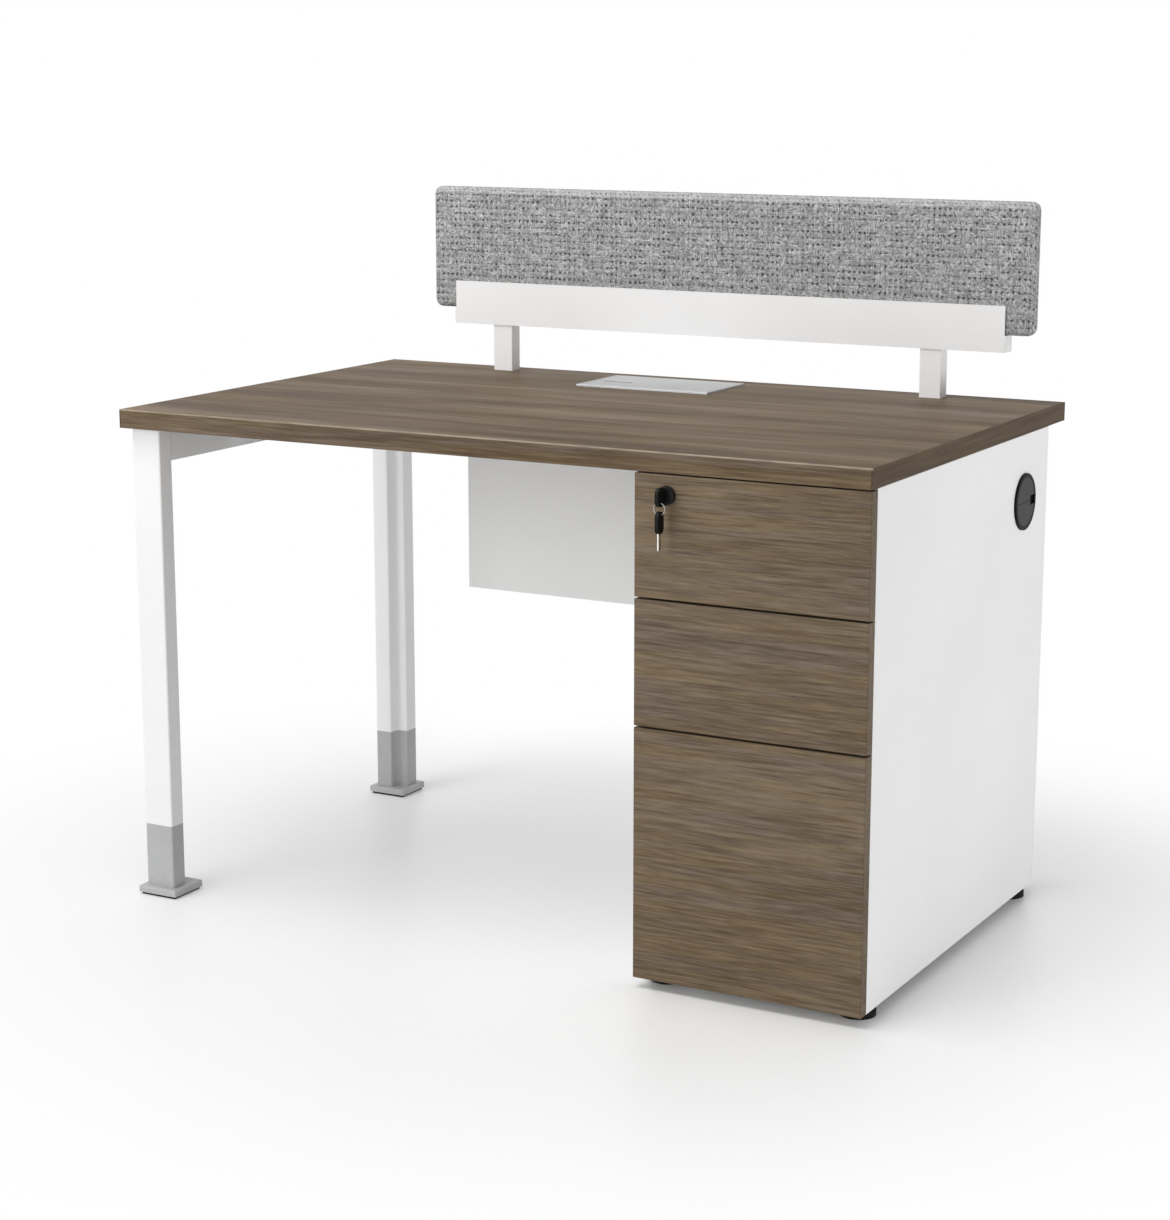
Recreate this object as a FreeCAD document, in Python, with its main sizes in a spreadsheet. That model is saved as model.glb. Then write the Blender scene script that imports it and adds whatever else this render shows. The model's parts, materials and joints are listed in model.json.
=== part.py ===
"""Straight workstation desk: leg frame on the left, drawer pedestal on the right, fabric screen.

Millimetres, +Z up, -Y to the person who sits at it. The origin is on the floor, in the middle of the
desktop's width and of the whole depth, which includes the key that stands out of the top drawer.
"""
import FreeCAD, Part
import Sketcher
import math
import os
import re

SIZES = {
    # Desktop
    "top_width": 1200,
    "top_depth": 750,
    "desk_height": 750,
    "top_thickness": 28,
    "edging_thickness": 2,
    "edging_radius": 1.2,
    # Leg frame on the left
    "leg_size": 50,
    "leg_wall": 2,
    "leg_radius": 3,
    "leg_recess": 20,
    "leg_recess_radius": 10,
    "leg_side_inset": 10,
    "front_leg_inset": 15,
    "rear_leg_inset": 40,
    "leg_beam_height": 50,
    "leg_beam_depth": 30,
    "leg_beam_grip": 20,
    # Feet of the legs
    "foot_height": 112,
    "foot_plate_size": 70,
    "foot_plate_thickness": 10,
    "foot_plate_radius": 3,
    "foot_pad_size": 62,
    "foot_pad_thickness": 4,
    "spigot_length": 40,
    "spigot_clearance": 0.2,
    # Crossbeams between the leg frame and the pedestal
    "beam_height": 32,
    "beam_depth": 20,
    "beam_wall": 1.5,
    "front_beam_inset": 200,
    "rear_beam_inset": 230,
    # Angle brackets
    "bracket_arm": 32,
    "bracket_width": 26,
    "bracket_thickness": 2.5,
    "bracket_inset": 190,
    "bracket_hole": 20,
    # Screws and post bolts
    "screw_shank": 4,
    "screw_head": 8,
    "screw_head_height": 2.5,
    "screw_bite": 12,
    "screw_clearance": 0.1,
    "bolt_shank": 8,
    "bolt_head": 16,
    "bolt_head_height": 5,
    # Modesty panel
    "modesty_thickness": 16,
    "modesty_height": 300,
    "modesty_left_inset": 296,
    "modesty_screw_inset": 70,
    # Pedestal
    "pedestal_width": 340,
    "pedestal_rear_inset": 72,
    "pedestal_floor_gap": 15,
    "panel_thickness": 18,
    "divider_thickness": 12,
    "drawer_space": 500,
    "top_screw_inset": 90,
    # Glides under the pedestal
    "glide_diameter": 50,
    "glide_neck_diameter": 42,
    "glide_rim_height": 8,
    "glide_height": 10,
    "glide_side_inset": 27,
    "glide_end_inset": 36,
    "stud_diameter": 8,
    "stud_length": 20,
    "stud_clearance": 0.05,
    "socket_wall": 1.5,
    "socket_flange_diameter": 22,
    "socket_flange_thickness": 2,
    "socket_length": 14,
    # Drawers
    "front_thickness": 18,
    "front_gap": 1,
    "front_radius": 0.8,
    "top_reveal": 2,
    "drawer_reveal": 3,
    "top_front_height": 168,
    "middle_front_height": 175,
    "wall_thickness": 12,
    "wall_lift": 26,
    "wall_drop": 42,
    "drawer_length": 470,
    "drawer_bottom_thickness": 5,
    "drawer_bottom_lift": 6,
    "file_rail_thickness": 4,
    "file_rail_height": 20,
    "file_rail_rise": 6,
    # Runners
    "runner_length": 450,
    "runner_height": 45,
    "runner_depth": 12.7,
    "runner_setback": 4,
    "runner_lift": 20,
    "runner_wall": 1.2,
    "runner_clearance": 0.4,
    "runner_flange": 7,
    "tab_height": 9,
    "tab_thickness": 4,
    # Lock in the top drawer
    "lock_inset": 48,
    "lock_drop": 27,
    "rosette_diameter": 26,
    "rosette_thickness": 7,
    "barrel_diameter": 17,
    "barrel_tail": 8,
    "barrel_clearance": 0.1,
    "plug_diameter": 12,
    "plug_clearance": 0.05,
    "plug_proud": 0.5,
    "collar_diameter": 15,
    "collar_thickness": 1.8,
    "collar_gap": 0.2,
    "crank_radius": 5,
    "crank_pin": 3,
    "crank_length": 6,
    "keyway_clearance": 0.2,
    # Lock bar in the pedestal's left side
    "bar_width": 15,
    "bar_thickness": 5,
    "bar_clearance": 0.3,
    "bar_stroke": 5,
    "bar_tail": 30,
    "lug_gap": 0.5,
    "lug_thickness": 3,
    "lug_wall": 2,
    "lug_play": 1.4,
    "peg_diameter": 6,
    "peg_gap": 1,
    "peg_end_gap": 0.5,
    # Keys and ring
    "key_shoulder": 1.5,
    "bow_length": 22,
    "bow_height": 25,
    "bow_thickness": 5,
    "bow_radius": 8,
    "blade_thickness": 2,
    "blade_height": 7,
    "blade_reach": 14,
    "blade_root": 7,
    "ring_hole": 5,
    "ring_hole_inset": 9,
    "ring_hole_drop": 6,
    "ring_radius": 8.2,
    "ring_wire": 1.3,
    "ring_clearance": 0.7,
    "spare_bow_width": 17,
    "spare_bow_height": 30,
    "spare_hole_drop": 6,
    "spare_blade_length": 22,
    # Cable box in the desktop
    "box_width": 230,
    "box_depth": 135,
    "box_rear_inset": 45,
    "box_left_shift": 28,
    "bezel_width": 5,
    "bezel_height": 3,
    "neck_wall": 2,
    "neck_depth": 22,
    "cutout_clearance": 0.5,
    "lid_gap": 1,
    "lid_radius": 0.6,
    "ledge_depth": 3,
    "hinge_setback": 4,
    "hinge_pin": 2,
    "hinge_bite": 1.8,
    "hinge_clearance": 0.05,
    "groove_length": 52,
    "groove_width": 6,
    "groove_depth": 1.2,
    "groove_left_inset": 14,
    "groove_front_inset": 46,
    "tray_length": 300,
    "tray_height": 70,
    "tray_wall": 1.5,
    "tray_flange": 15,
    "tray_margin": 3,
    # Grommet in the pedestal's right side
    "grommet_inset": 100,
    "grommet_drop": 99,
    "grommet_diameter": 84,
    "grommet_flange": 4,
    "grommet_bevel": 1,
    "grommet_hole": 70,
    "grommet_hole_clearance": 0.2,
    "sleeve_wall": 4,
    "ledge_rise": 0.8,
    "cap_diameter": 72,
    "cap_thickness": 2.8,
    "cap_clearance": 0.3,
    "cap_seat_gap": 0.1,
    "cap_skirt": 6,
    "cap_skirt_wall": 2,
    "notch_width": 14,
    "notch_reach": 18,
    "split_width": 1.4,
    "split_depth": 0.8,
    # Screen on its posts
    "screen_margin": 150,
    "screen_height": 200,
    "screen_thickness": 24,
    "screen_shift": 40,
    "screen_corner": 13,
    "screen_edge": 5,
    "fabric_layer": 3,
    "rail_margin": 90,
    "rail_height": 70,
    "rail_depth": 30,
    "rail_wall": 2.5,
    "rail_box_height": 25,
    "end_cap_thickness": 1.5,
    "end_cap_plug": 10,
    "end_cap_clearance": 0.2,
    "post_width": 35,
    "post_depth": 26,
    "post_wall": 2,
    "post_radius": 1.5,
    "post_height": 75,
    "post_base": 6,
    "post_margin": 261,
    "post_shift": 25.5,
    "post_rear_inset": 27,
}

doc = FreeCAD.newDocument("workstation_desk")
sheet = doc.addObject("Spreadsheet::Sheet", "Sizes")
for row, (size_name, size_value) in enumerate(SIZES.items(), start=1):
    sheet.set(f"A{row}", size_name)
    sheet.set(f"B{row}", str(size_value))
    sheet.setAlias(f"B{row}", size_name)
doc.recompute()

nodes = []

DIRECTIONS = {
    "+x": FreeCAD.Rotation(FreeCAD.Vector(0, 1, 0), 90),
    "-x": FreeCAD.Rotation(FreeCAD.Vector(0, 1, 0), -90),
    "+y": FreeCAD.Rotation(FreeCAD.Vector(1, 0, 0), -90),
    "-y": FreeCAD.Rotation(FreeCAD.Vector(1, 0, 0), 90),
    "+z": FreeCAD.Rotation(),
    "-z": FreeCAD.Rotation(FreeCAD.Vector(1, 0, 0), 180),
}
OPPOSITE = {"+x": "-x", "-x": "+x", "+y": "-y", "-y": "+y", "+z": "-z", "-z": "+z"}


def bound(formula):
    """The formula with each size read from the sheet."""
    return re.sub(r"[a-z][a-z_]*", lambda word: "Sizes." + word.group(), formula)


def place(thing, point, direction="+z"):
    """Puts the object's own Z axis along a direction and its origin at a point of formulas."""
    thing.Placement = FreeCAD.Placement(FreeCAD.Vector(), DIRECTIONS[direction])
    for axis, formula in zip("xyz", point):
        thing.setExpression(f"Placement.Base.{axis}", bound(formula))


def block(name, size, corner):
    """A straight block from its three lengths and its lowest corner."""
    thing = doc.addObject("Part::Box", name)
    for prop, formula in zip(("Length", "Width", "Height"), size):
        thing.setExpression(prop, bound(formula))
    place(thing, corner)
    return thing


def rod(name, diameter, length, start, direction):
    """A round bar that starts at a point and runs along a direction."""
    thing = doc.addObject("Part::Cylinder", name)
    thing.setExpression("Radius", bound(f"({diameter}) / 2"))
    thing.setExpression("Height", bound(length))
    place(thing, start, direction)
    return thing


def group(name, things):
    """Separate solids held in one object."""
    thing = doc.addObject("Part::Compound", name)
    thing.Links = things
    return thing


def join(name, things):
    """One solid from solids that touch or overlap."""
    thing = doc.addObject("Part::MultiFuse", name)
    thing.Shapes = things
    thing.Refine = True
    return thing


def cut(name, base, tools):
    """The base without what the tools fill."""
    thing = doc.addObject("Part::Cut", name)
    thing.Base = base
    thing.Tool = tools[0] if len(tools) == 1 else group(name + "_tools", tools)
    return thing


def node(label, thing):
    """Marks an object as a finished piece of the desk under its own label."""
    thing.Label = label
    nodes.append(thing)
    return thing


def outline(body, role, loops):
    """A sketch of closed loops on one of the body's own planes, every corner set by two formulas."""
    sketch = body.newObject("Sketcher::SketchObject", body.Name + "_outline")
    plane = next(feature for feature in body.Origin.OriginFeatures if feature.Role == role)
    sketch.AttachmentSupport = (plane, [""])
    sketch.MapMode = "FlatFace"
    for loop in loops:
        first = sketch.GeometryCount
        count = len(loop)
        angles = [2 * math.pi * i / count for i in range(count)]
        start = [FreeCAD.Vector(math.cos(angle), math.sin(angle), 0) for angle in angles]
        sides = [Part.LineSegment(start[i], start[(i + 1) % count]) for i in range(count)]
        sketch.addGeometry(sides, False)
        for i, corner in enumerate(loop):
            following = first + (i + 1) % count
            sketch.addConstraint(Sketcher.Constraint("Coincident", first + i, 2, following, 1))
            for kind, formula in zip(("DistanceX", "DistanceY"), corner):
                index = sketch.addConstraint(Sketcher.Constraint(kind, -1, 1, first + i, 1, 1.0))
                sketch.setExpression(f"Constraints[{index}]", bound(formula))
    return sketch


def rectangle(low, high):
    """The four corners of a rectangle between two corners."""
    return [(low[0], low[1]), (high[0], low[1]), (high[0], high[1]), (low[0], high[1])]


def prism(name, role, loops, length, corner):
    """A body padded from a sketch along the normal of its plane."""
    body = doc.addObject("PartDesign::Body", name)
    pad = body.newObject("PartDesign::Pad", name + "_pad")
    sketch = outline(body, role, loops)
    pad.Profile = sketch
    pad.setExpression("Length", bound(length))
    body.Tip = pad
    place(body, corner)
    return body


def turned(name, profile, point, direction):
    """A body turned about its own Z axis from corners of radius and height."""
    body = doc.addObject("PartDesign::Body", name)
    turn = body.newObject("PartDesign::Revolution", name + "_turn")
    sketch = outline(body, "XZ_Plane", [profile])
    turn.Profile = sketch
    turn.ReferenceAxis = (sketch, ["V_Axis"])
    turn.Angle = 360
    body.Tip = turn
    place(body, point, direction)
    return body


def along(axis):
    """Picks the outer edges of a body that run along one axis."""
    def pick(edge, box):
        if not isinstance(edge.Curve, Part.Line):
            return False
        middle = edge.CenterOfMass
        limits = {"x": (box.XMin, box.XMax), "y": (box.YMin, box.YMax), "z": (box.ZMin, box.ZMax)}
        places = {"x": middle.x, "y": middle.y, "z": middle.z}
        outer = [min(abs(places[a] - end) for end in limits[a]) < 1e-6 for a in "xyz" if a != axis]
        return all(outer)
    return pick


def on_face(axis, side):
    """Picks the edges that lie in the lowest or highest face of a body along one axis."""
    def pick(edge, box):
        low = {"x": box.XMin, "y": box.YMin, "z": box.ZMin}[axis]
        high = {"x": box.XMax, "y": box.YMax, "z": box.ZMax}[axis]
        wanted = low if side == "low" else high
        values = [getattr(vertex.Point, axis) for vertex in edge.Vertexes]
        return all(abs(value - wanted) < 1e-6 for value in values)
    return pick


def soften(body, radius, pick):
    """Rounds the picked edges of a body."""
    doc.recompute()
    base = body.Tip
    edges = base.Shape.Edges
    names = [f"Edge{i + 1}" for i, edge in enumerate(edges) if pick(edge, base.Shape.BoundBox)]
    fillet = body.newObject("PartDesign::Fillet", body.Name + "_round")
    fillet.Base = (base, names)
    fillet.setExpression("Radius", bound(radius))
    body.Tip = fillet
    return body


def slab(name, size, corner):
    """A block as a body, so that its edges can be rounded."""
    return prism(name, "XY_Plane", [rectangle(("0", "0"), size[:2])], size[2], corner)


def screw(name, start, direction, bite, shank="screw_shank", head="screw_head", rise="screw_head_height"):
    """A screw whose head sits at a point with its shank along a direction, and the hole that it needs."""
    top = rod(name + "_head", head, rise, start, OPPOSITE[direction])
    stem = rod(name + "_shank", shank, bite, start, direction)
    bore = f"{shank} + 2 * screw_clearance"
    hole = rod(name + "_hole", bore, f"{bite} + screw_clearance", start, direction)
    return join(name, [top, stem]), hole


# Places that several pieces share

LEFT = "(0 - top_width / 2)"
RIGHT = "(top_width / 2)"
UNDER = "(desk_height - top_thickness)"
KEY_REACH = "(rosette_thickness + key_shoulder + bow_length)"
FRONT = f"(({KEY_REACH} - top_depth) / 2)"
REAR = f"({FRONT} + top_depth)"

LEG_OUTER = f"({LEFT} + leg_side_inset)"
LEG_INNER = f"({LEG_OUTER} + leg_size)"
FRONT_LEG = f"({FRONT} + front_leg_inset)"
REAR_LEG = f"({REAR} - rear_leg_inset - leg_size)"

PED_LEFT = f"({RIGHT} - pedestal_width)"
INNER_LEFT = f"({PED_LEFT} + panel_thickness)"
INNER_RIGHT = f"({RIGHT} - panel_thickness)"
INNER_WIDTH = "(pedestal_width - 2 * panel_thickness)"
CARCASS_FRONT = f"({FRONT} + front_thickness + front_gap)"
CARCASS_REAR = f"({REAR} - pedestal_rear_inset)"
CARCASS_DEPTH = "(top_depth - pedestal_rear_inset - front_thickness - front_gap)"
CARCASS_HEIGHT = f"({UNDER} - pedestal_floor_gap)"
DIVIDER = f"({CARCASS_FRONT} + drawer_space)"
FLOOR_TOP = "(pedestal_floor_gap + panel_thickness)"

FRONT_BEAM = f"({FRONT} + front_beam_inset)"
REAR_BEAM = f"({REAR} - rear_beam_inset)"
BEAM_LENGTH = f"({PED_LEFT} - {LEG_INNER})"
BEAM_Z = f"({UNDER} - beam_height)"
MODESTY_LEFT = f"({LEFT} + modesty_left_inset)"

# Each drawer: its name, and the lowest edge and height of its front
TOP_FRONT = f"({UNDER} - top_reveal - top_front_height)"
MIDDLE_FRONT = f"({TOP_FRONT} - drawer_reveal - middle_front_height)"
FILE_HEIGHT = f"({MIDDLE_FRONT} - drawer_reveal - pedestal_floor_gap)"
DRAWERS = [
    ("top", TOP_FRONT, "top_front_height"),
    ("middle", MIDDLE_FRONT, "middle_front_height"),
    ("file", "pedestal_floor_gap", FILE_HEIGHT),
]

LOCK_X = f"({PED_LEFT} + lock_inset)"
LOCK_Z = f"({UNDER} - top_reveal - lock_drop)"
BAR_FRONT = f"({FRONT} + front_thickness + barrel_tail + collar_gap + collar_thickness + lug_gap)"
PEG_Y = f"({BAR_FRONT} + bar_width / 2)"

BOX_MIDDLE = "(0 - box_left_shift)"
BOX_LEFT = f"({BOX_MIDDLE} - box_width / 2)"
BOX_FRONT = f"({REAR} - box_rear_inset - box_depth)"
BOX_WALL_INSET = "(bezel_width - neck_wall)"

GROMMET_Y = f"({CARCASS_REAR} - grommet_inset)"
GROMMET_Z = f"({UNDER} - grommet_drop)"

POST_FRONT = f"({REAR} - post_rear_inset - post_depth)"
SCREEN_WIDTH = "(top_width - screen_margin)"
RAIL_WIDTH = f"({SCREEN_WIDTH} - rail_margin)"
POST_SPAN = f"({SCREEN_WIDTH} - post_margin)"
POST_LEFT = f"(post_shift - {POST_SPAN} / 2)"
POST_RIGHT = f"(post_shift + {POST_SPAN} / 2 - post_width)"
RAIL_Z = "(desk_height + post_height)"

# Screws, gathered first because they pierce several pieces
screws = []
holes = {"desktop": [], "leg_beam": [], "front_beam": [], "rear_beam": [], "modesty": [],
         "left_side": [], "pedestal_top": [], "brackets": []}


def fasten(name, start, direction, bite, pierced):
    """Adds a screw and notes its hole in each piece that it goes through."""
    solid, hole = screw(name, start, direction, bite)
    screws.append(solid)
    for piece in pierced:
        holes[piece].append(hole)


# Angle brackets: two under the top on the leg beam, and one behind each crossbeam at the pedestal
bracket_blanks = []
BRACKET_BITE = "bracket_thickness + screw_bite"
LEG_BRACKETS = {
    "front": f"({FRONT_LEG} + leg_size + bracket_inset)",
    "rear": f"({REAR_LEG} - bracket_inset - bracket_width)",
}
for end, low_y in LEG_BRACKETS.items():
    name = f"{end}_leg_bracket"
    upright = block(name + "_upright", ("bracket_thickness", "bracket_width", "bracket_arm"),
                    (LEG_INNER, low_y, f"{UNDER} - bracket_arm"))
    flat = block(name + "_flat", ("bracket_arm", "bracket_width", "bracket_thickness"),
                 (LEG_INNER, low_y, f"{UNDER} - bracket_thickness"))
    bracket_blanks.append(join(name, [upright, flat]))
    middle = f"{low_y} + bracket_width / 2"
    under_flat = (f"{LEG_INNER} + bracket_hole", middle, f"{UNDER} - bracket_thickness")
    beside_upright = (f"{LEG_INNER} + bracket_thickness", middle, f"{UNDER} - bracket_hole")
    fasten(name + "_top_screw", under_flat, "+z", BRACKET_BITE, ["desktop", "brackets"])
    fasten(name + "_beam_screw", beside_upright, "-x", BRACKET_BITE, ["leg_beam", "brackets"])

for end, beam_y in (("front", FRONT_BEAM), ("rear", REAR_BEAM)):
    name = f"{end}_beam_bracket"
    back = f"({beam_y} + beam_depth)"
    low_z = f"({UNDER} - beam_height / 2 - bracket_width / 2)"
    on_side = block(name + "_side", ("bracket_thickness", "bracket_arm", "bracket_width"),
                    (f"{PED_LEFT} - bracket_thickness", back, low_z))
    on_beam = block(name + "_beam", ("bracket_arm", "bracket_thickness", "bracket_width"),
                    (f"{PED_LEFT} - bracket_arm", back, low_z))
    bracket_blanks.append(join(name, [on_side, on_beam]))
    middle = f"{UNDER} - beam_height / 2"
    beside_board = (f"{PED_LEFT} - bracket_thickness", f"{back} + bracket_hole", middle)
    behind_beam = (f"{PED_LEFT} - bracket_hole", f"{back} + bracket_thickness", middle)
    fasten(name + "_side_screw", beside_board, "+x", BRACKET_BITE, ["left_side", "brackets"])
    fasten(name + "_beam_screw", behind_beam, "-y", BRACKET_BITE, [f"{end}_beam", "brackets"])

# Screws that hold the modesty panel against the rear crossbeam
MODESTY_SCREWS = {
    "left": f"{MODESTY_LEFT} + modesty_screw_inset",
    "right": f"{PED_LEFT} - modesty_screw_inset",
}
for end, across in MODESTY_SCREWS.items():
    behind_beam = (across, f"{REAR_BEAM} + beam_depth", f"{UNDER} - beam_height / 2")
    fasten(f"modesty_{end}_screw", behind_beam, "-y", "beam_depth + screw_bite", ["rear_beam", "modesty"])

# Screws up through the top of the pedestal into the desktop
TOP_SCREWS_ACROSS = {"left": f"{PED_LEFT} + top_screw_inset", "right": f"{RIGHT} - top_screw_inset"}
TOP_SCREWS_DEEP = {"front": f"{CARCASS_FRONT} + top_screw_inset", "rear": f"{DIVIDER} - top_screw_inset"}
for side, across in TOP_SCREWS_ACROSS.items():
    for end, deep in TOP_SCREWS_DEEP.items():
        fasten(f"pedestal_{side}_{end}_screw", (across, deep, f"{UNDER} - panel_thickness"), "+z",
               "panel_thickness + screw_bite", ["desktop", "pedestal_top"])

# Bolts up through the desktop into the screen posts
POSTS = {"left": POST_LEFT, "right": POST_RIGHT}
bolts = []
bolt_holes = []
for side, low_x in POSTS.items():
    bolt, bolt_hole = screw(
        f"{side}_post_bolt", (f"{low_x} + post_width / 2", f"{POST_FRONT} + post_depth / 2", UNDER), "+z",
        "top_thickness + post_base", "bolt_shank", "bolt_head", "bolt_head_height")
    bolts.append(bolt)
    bolt_holes.append(bolt_hole)

node("angle_brackets", group("angle_brackets", [
    cut(f"pierced_bracket_{i}", blank, holes["brackets"][2 * i:2 * i + 2])
    for i, blank in enumerate(bracket_blanks)]))
node("frame_screws", group("frame_screws", screws + bolts))

# Desktop board and its edging
board = block("desktop_board",
              ("top_width - 2 * edging_thickness", "top_depth - 2 * edging_thickness", "top_thickness"),
              (f"{LEFT} + edging_thickness", f"{FRONT} + edging_thickness", UNDER))
box_cutout = block("desktop_box_cutout",
                   (f"box_width - 2 * {BOX_WALL_INSET} + 2 * cutout_clearance",
                    f"box_depth - 2 * {BOX_WALL_INSET} + 2 * cutout_clearance", "top_thickness"),
                   (f"{BOX_LEFT} + {BOX_WALL_INSET} - cutout_clearance",
                    f"{BOX_FRONT} + {BOX_WALL_INSET} - cutout_clearance", UNDER))
node("desktop", cut("desktop", board, [box_cutout] + bolt_holes + holes["desktop"]))

SIDE_EDGING = ("edging_thickness", "top_depth - 2 * edging_thickness", "top_thickness")
LONG_EDGING = ("top_width", "edging_thickness", "top_thickness")
BEHIND_EDGING = f"{FRONT} + edging_thickness"
EDGING = [
    ("front_edging", LONG_EDGING, (LEFT, FRONT, UNDER), "y", "low"),
    ("rear_edging", LONG_EDGING, (LEFT, f"{REAR} - edging_thickness", UNDER), "y", "high"),
    ("left_edging", SIDE_EDGING, (LEFT, BEHIND_EDGING, UNDER), "x", "low"),
    ("right_edging", SIDE_EDGING, (f"{RIGHT} - edging_thickness", BEHIND_EDGING, UNDER), "x", "high"),
]


def outer_long_edges(axis, side):
    """Picks the upper and lower edge on the outer face of a strip of edging."""
    lies_outside = on_face(axis, side)

    def pick(edge, box):
        level = abs(edge.Vertexes[0].Z - edge.Vertexes[-1].Z) < 1e-6
        return level and lies_outside(edge, box)
    return pick


node("desktop_edging", group("desktop_edging", [
    soften(slab(name, size, corner), "edging_radius", outer_long_edges(axis, side))
    for name, size, corner, axis, side in EDGING]))

# Legs, feet and the beam that joins the legs
SPIGOT_INSET = "(leg_wall + spigot_clearance)"
PLATE_OVERHANG = "((foot_plate_size - leg_size) / 2)"
PLATE_TOP = "(foot_pad_thickness + foot_plate_thickness)"
LEG_LENGTH = f"{UNDER} - foot_height"


def upright_corner(inward):
    """Picks the upright edges of a leg's section: its one inward corner, or all the others."""
    def pick(edge, box):
        upright = isinstance(edge.Curve, Part.Line) and abs(edge.Curve.Direction.z) > 0.5
        middle = edge.CenterOfMass
        sides = (middle.x - box.XMin, box.XMax - middle.x, middle.y - box.YMin, box.YMax - middle.y)
        return upright and (min(sides) > 1e-6) == inward
    return pick


def leg_bar(name, end, inset, length, low_z):
    """A bar of the leg's section, recessed at the corner that faces the middle of the desk."""
    near, far, step = inset, f"leg_size - {inset}", f"leg_size - leg_recess - {inset}"
    loop = [(near, near), (far, near), (far, step), (step, step), (step, far), (near, far)]
    if end == "rear":
        loop = [(x, f"leg_size - ({y})") for x, y in loop]
    return prism(name, "XY_Plane", [loop], length, (LEG_OUTER, LEG_Y[end], low_z))


LEG_Y = {"front": FRONT_LEG, "rear": REAR_LEG}
pads = []
for end, low_y in LEG_Y.items():
    tube = leg_bar(f"{end}_leg_bar", end, "0", LEG_LENGTH, "foot_height")
    sleeve = leg_bar(f"{end}_sleeve_body", end, "0", f"foot_height - {PLATE_TOP}", PLATE_TOP)
    for bar in (tube, sleeve):
        soften(bar, "leg_radius", upright_corner(False))
        soften(bar, "leg_recess_radius", upright_corner(True))
    hollow = leg_bar(f"{end}_leg_hollow", end, "leg_wall", LEG_LENGTH, "foot_height")
    soften(hollow, "leg_recess_radius + leg_wall", upright_corner(True))
    node(f"{end}_leg", cut(f"{end}_leg", tube, [hollow]))
    plate_corner = (f"{LEG_OUTER} - {PLATE_OVERHANG}", f"{low_y} - {PLATE_OVERHANG}", "foot_pad_thickness")
    plate = slab(f"{end}_foot_plate", ("foot_plate_size", "foot_plate_size", "foot_plate_thickness"),
                 plate_corner)
    soften(plate, "foot_plate_radius", along("z"))
    soften(plate, "foot_plate_radius", on_face("z", "high"))
    spigot = leg_bar(f"{end}_spigot", end, SPIGOT_INSET, "spigot_length", "foot_height")
    node(f"{end}_foot_sleeve", join(f"{end}_foot_sleeve", [sleeve, plate, spigot]))
    pad_inset = "((foot_pad_size - leg_size) / 2)"
    pads.append(block(f"{end}_foot_pad", ("foot_pad_size", "foot_pad_size", "foot_pad_thickness"),
                      (f"{LEG_OUTER} - {pad_inset}", f"{low_y} - {pad_inset}", "0")))
node("leg_foot_pads", group("leg_foot_pads", pads))


def square_tube(name, size, corner, wall, axis):
    """A hollow bar along X or Y, open at both ends."""
    inset = {"x": ("0", wall, wall), "y": (wall, "0", wall)}[axis]
    hollow = block(name + "_hollow", [f"{full} - 2 * {side}" for full, side in zip(size, inset)],
                   [f"{low} + {side}" for low, side in zip(corner, inset)])
    return cut(name + "_tube", block(name + "_bar", size, corner), [hollow])


LEG_BEAM_SIZE = ("leg_beam_depth", f"{REAR_LEG} - {FRONT_LEG} - leg_size", "leg_beam_height")
LEG_BEAM_CORNER = (f"{LEG_INNER} - leg_beam_depth", f"{FRONT_LEG} + leg_size", f"{UNDER} - leg_beam_height")
leg_beam = square_tube("leg_beam", LEG_BEAM_SIZE, LEG_BEAM_CORNER, "leg_wall", "y")
TONGUE_SIZE = ("leg_recess - leg_recess_radius", "leg_recess + leg_beam_grip", "leg_beam_height")
TONGUE_X = f"{LEG_INNER} - leg_recess + leg_recess_radius"
TONGUE_Y = {"front": f"{FRONT_LEG} + leg_size - leg_recess", "rear": f"{REAR_LEG} - leg_beam_grip"}
tongues = [block(f"{end}_beam_tongue", TONGUE_SIZE, (TONGUE_X, low_y, LEG_BEAM_CORNER[2]))
           for end, low_y in TONGUE_Y.items()]
leg_beam = join("leg_beam_with_tongues", [leg_beam, *tongues])
node("leg_beam", cut("leg_beam", leg_beam, holes["leg_beam"]))

# Crossbeams and the modesty panel
for end, low_y in (("front", FRONT_BEAM), ("rear", REAR_BEAM)):
    tube = square_tube(f"{end}_beam", (BEAM_LENGTH, "beam_depth", "beam_height"), (LEG_INNER, low_y, BEAM_Z),
                       "beam_wall", "x")
    node(f"{end}_crossbeam", cut(f"{end}_crossbeam", tube, holes[f"{end}_beam"]))
modesty_board = block("modesty_board",
                      (f"{PED_LEFT} - {MODESTY_LEFT}", "modesty_thickness", "modesty_height"),
                      (MODESTY_LEFT, f"{REAR_BEAM} - modesty_thickness", f"{UNDER} - modesty_height"))
node("modesty_panel", cut("modesty_panel", modesty_board, holes["modesty"]))

# Pedestal boards
SIDE_SIZE = ("panel_thickness", CARCASS_DEPTH, CARCASS_HEIGHT)


def drawer_levels(low, height):
    """The lowest edge of the walls, their height and the lowest edge of the runners of a drawer."""
    walls = f"({low} + wall_lift)"
    return walls, f"({height} - wall_lift - wall_drop)", f"({walls} + runner_lift)"


def peg_level(low, height):
    """The height of the peg that stops a drawer, above the tab that it drops in front of."""
    runner = drawer_levels(low, height)[2]
    return f"({runner} + runner_height + tab_height + peg_gap + peg_diameter / 2)"


FILE_PEG = peg_level(*DRAWERS[2][1:])
BAR_BOTTOM = f"({FILE_PEG} - bar_tail)"
LUG_SLOT = "(crank_pin / 2 + lug_play)"
BAR_TOP = f"({LOCK_Z} + {LUG_SLOT} + lug_wall)"

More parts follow.
